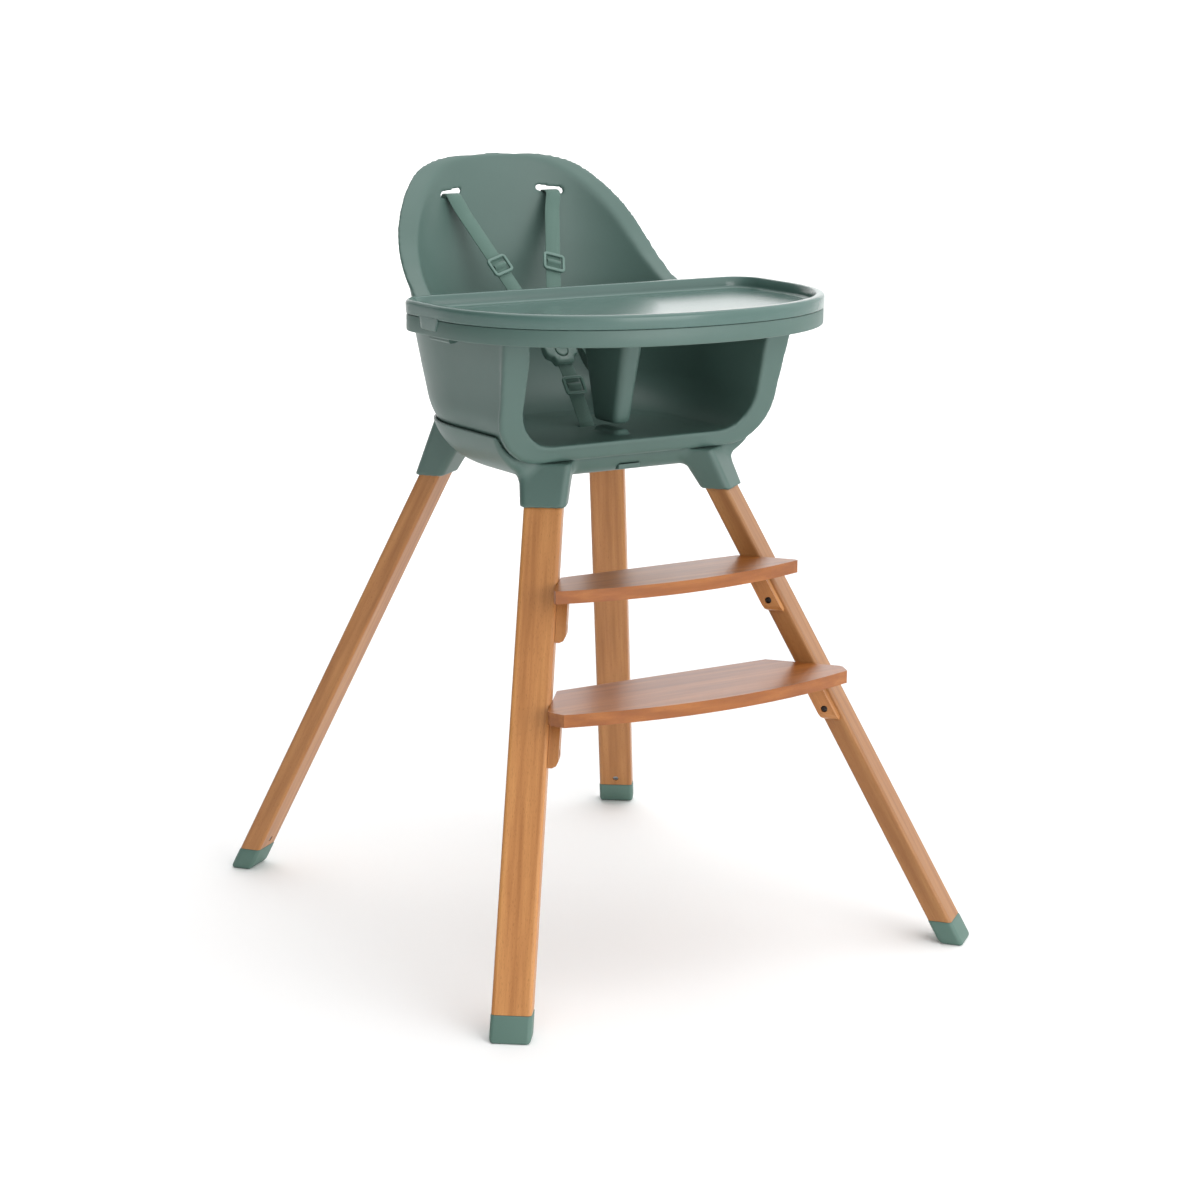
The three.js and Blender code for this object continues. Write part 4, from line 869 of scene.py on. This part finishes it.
def lap_strap(hand, side):
    """From the tongue round the child's side to its slot, turning from flat to upright."""
    run, inward, at = lap_axes(1)
    start, inside = on_buckle(TONGUE["x"] + 17, 27, 0.6), at + inward * 9
    slack = [start.lerp(inside, i / 5) - Vector((0, 0, 9 * math.sin(math.pi * i / 5)))
             for i in range(1, 5)]
    points = [on_buckle(23.4, 27, LIE), start] + slack + [inside, at - inward * (WALL + 1)]
    flip = Vector((side, 1, 1))

    def across(t):
        return (-BUCKLE_UP).lerp(run, float(ease(np.array(t * 7 / 6)))) * flip

    strap(f"lap_webbing_{hand}", [p * flip for p in curve_through(points)], "seat",
          f"lap_strap_{hand}", across, WEB["wide"] - 1)


shoulder = shoulder_points()
crotch = [Vector((0, CROTCH_SLOT["y"], 593)), Vector((0, CROTCH_SLOT["y"], 606)),
          Vector((0, -5, 615)), on_buckle(0, -31, 0), on_buckle(0, -15.5, 0)]
for hand, side, route in (("left", -1, mirror(shoulder)), ("right", 1, shoulder)):
    strap(f"shoulder_webbing_{hand}", gentle(route), "seat", f"shoulder_strap_{hand}")
    lap_strap(hand, side)
strap("crotch_webbing", gentle(crotch), "seat", "crotch_strap")

# ---------------------------------------------------------------- sliders
# Ladder-lock adjusters, moulded in acetal: a frame that lies on the webbing, and a fold of
# the webbing over its middle bar. The fold covers the bar, so the bar isn't made.

SLIDER = {"wide": 29.5, "high": 25.0, "corner": 5.2, "bar": 3.9, "thick": 3.6, "lift": 0.95}
FOLD = {"half": 5.5, "high": 3.6, "lift": 0.2, "wide": 18.5}    # webbing over the middle bar
SHOULDER_SHARE, CROTCH_SHARE = 0.72, 0.7            # where each slider sits on its straight run
# The fittings are paler than the webbing: partly the acetal's own colour, partly a painted
# highlight on the slider frames.
acetal = sage_plastic("moulded_acetal_harness_fittings", 0.34, 0.012, "#66847B", "#5F7C73", 0.1)


def hoop(name, axes, body, node):
    """A moulded frame with rounded bars, on axes across, along and out of the webbing."""
    across, along, out, middle = axes
    radius = SLIDER["bar"] / 2
    path = rounded_ring(SLIDER["wide"] - 2 * radius, SLIDER["high"] - 2 * radius,
                        SLIDER["corner"] - radius, 8)
    bar = rounded_ring(SLIDER["bar"], SLIDER["thick"], 1.1, 3)
    count = len(path)
    points, faces = [], []
    for i, (x, y) in enumerate(path):
        (ax, ay), (bx, by) = path[i - 1], path[(i + 1) % count]
        heading = Vector((bx - ax, by - ay)).normalized()
        for s, f in bar:
            local = (x + heading.y * s, y - heading.x * s, f + SLIDER["lift"] + SLIDER["thick"] / 2)
            points.append((middle + across * local[0] + along * local[1] + out * local[2]) * MM)
    size = len(bar)
    for i in range(count):
        for k in range(size):
            a, b = i * size + k, i * size + (k + 1) % size
            c, d = ((i + 1) % count) * size + (k + 1) % size, ((i + 1) % count) * size + k
            faces.append((a, d, c, b))
    finish(shape(name, points, faces), acetal, body, node)


def slider(name, start, end, share, body, node):
    """A slider and its fold of webbing, part of the way along a straight run."""
    along = (end - start).normalized()
    across = (SIDEWAYS - along * along.x).normalized()
    out = across.cross(along)
    if out.y > 0:
        out = -out
    middle = start.lerp(end, share)
    hoop(f"{name}_frame", (across, along, out, middle), body, node)
    # the fold of webbing that rides over the middle bar
    half = FOLD["half"]
    hump = [middle + along * y
            + out * (FOLD["lift"] + FOLD["high"] * math.cos(math.pi * y / (2 * half)) ** 2)
            for y in np.linspace(-half, half, 17)]
    strap(f"{name}_webbing_fold", hump, body, None, lambda t: across, FOLD["wide"])


for hand, route in (("left", mirror(shoulder)), ("right", shoulder)):
    slider(f"shoulder_slider_{hand}", route[4], route[5], SHOULDER_SHARE, f"slider_{hand}",
           f"shoulder_slider_{hand}")
slider("crotch_slider", crotch[2], crotch[3], CROTCH_SHARE, "slider_crotch", "crotch_slider")

# ---------------------------------------------------------------- buckle
# A three-way acetal buckle: a body with a bar for the crotch webbing, a round push button and
# two tongues that click in from above.

BUCKLE_OUTLINE = [(0, -17.5), (9.5, -17.4), (12.6, -15.2), (14.6, -9.6), (20.4, -6),
                  (22, -0.5), (21.8, 9), (18.4, 15.4), (11, 17), (0, 17)]
# face height and scale of the body, face height and radius of its recess and of the button
BODY_LEVELS = [(-5.5, 0.90), (-4.7, 0.97), (-3, 1), (3, 1), (4.6, 0.97), (5.3, 0.92), (5.5, 0.86)]
RECESS_LEVELS = [(5.3, 9.6), (4.8, 8.9), (-1.2, 8.6)]
BUTTON_LEVELS = [(0.8, 8.0), (4.9, 8.0), (5.5, 7.7), (5.9, 7.0), (5.7, 5.4), (5.3, 3.2),
                 (5.2, 1.0)]


def buckle_body():
    half = [Vector((x, up, 0)) for x, up in BUCKLE_OUTLINE]
    line = curve_through(half, 5)
    outline = line + mirror(line)[-2:0:-1]
    rings = [[on_buckle(p.x * scale, p.y * scale, face) for p in outline]
             for face, scale in BODY_LEVELS]
    rings += [[on_buckle(radius * p.x / p.length, radius * p.y / p.length, face) for p in outline]
              for face, radius in RECESS_LEVELS]
    piece = loft("buckle_body_moulding", rings)
    finish(piece, acetal, "seat", "buckle_body", 34)


def buckle_button():
    angles = [2 * math.pi * i / 48 for i in range(48)]
    rings = [[on_buckle(radius * math.cos(a), radius * math.sin(a), face) for a in angles]
             for face, radius in BUTTON_LEVELS]
    piece = loft("buckle_push_button", rings)
    finish(piece, acetal, "buckle_button", "buckle_button")


buckle_body()
buckle_button()
for hand in ("left", "right"):
    dress(f"buckle_tongue_{hand}", acetal)
    soften(f"buckle_tongue_{hand}", 0.8)
    for place in ("shoulder", "lap"):
        dress(f"{place}_anchor_{hand}", acetal)
        soften(f"{place}_anchor_{hand}", 0.8)
dress("crotch_anchor", acetal)
soften("crotch_anchor", 0.8)
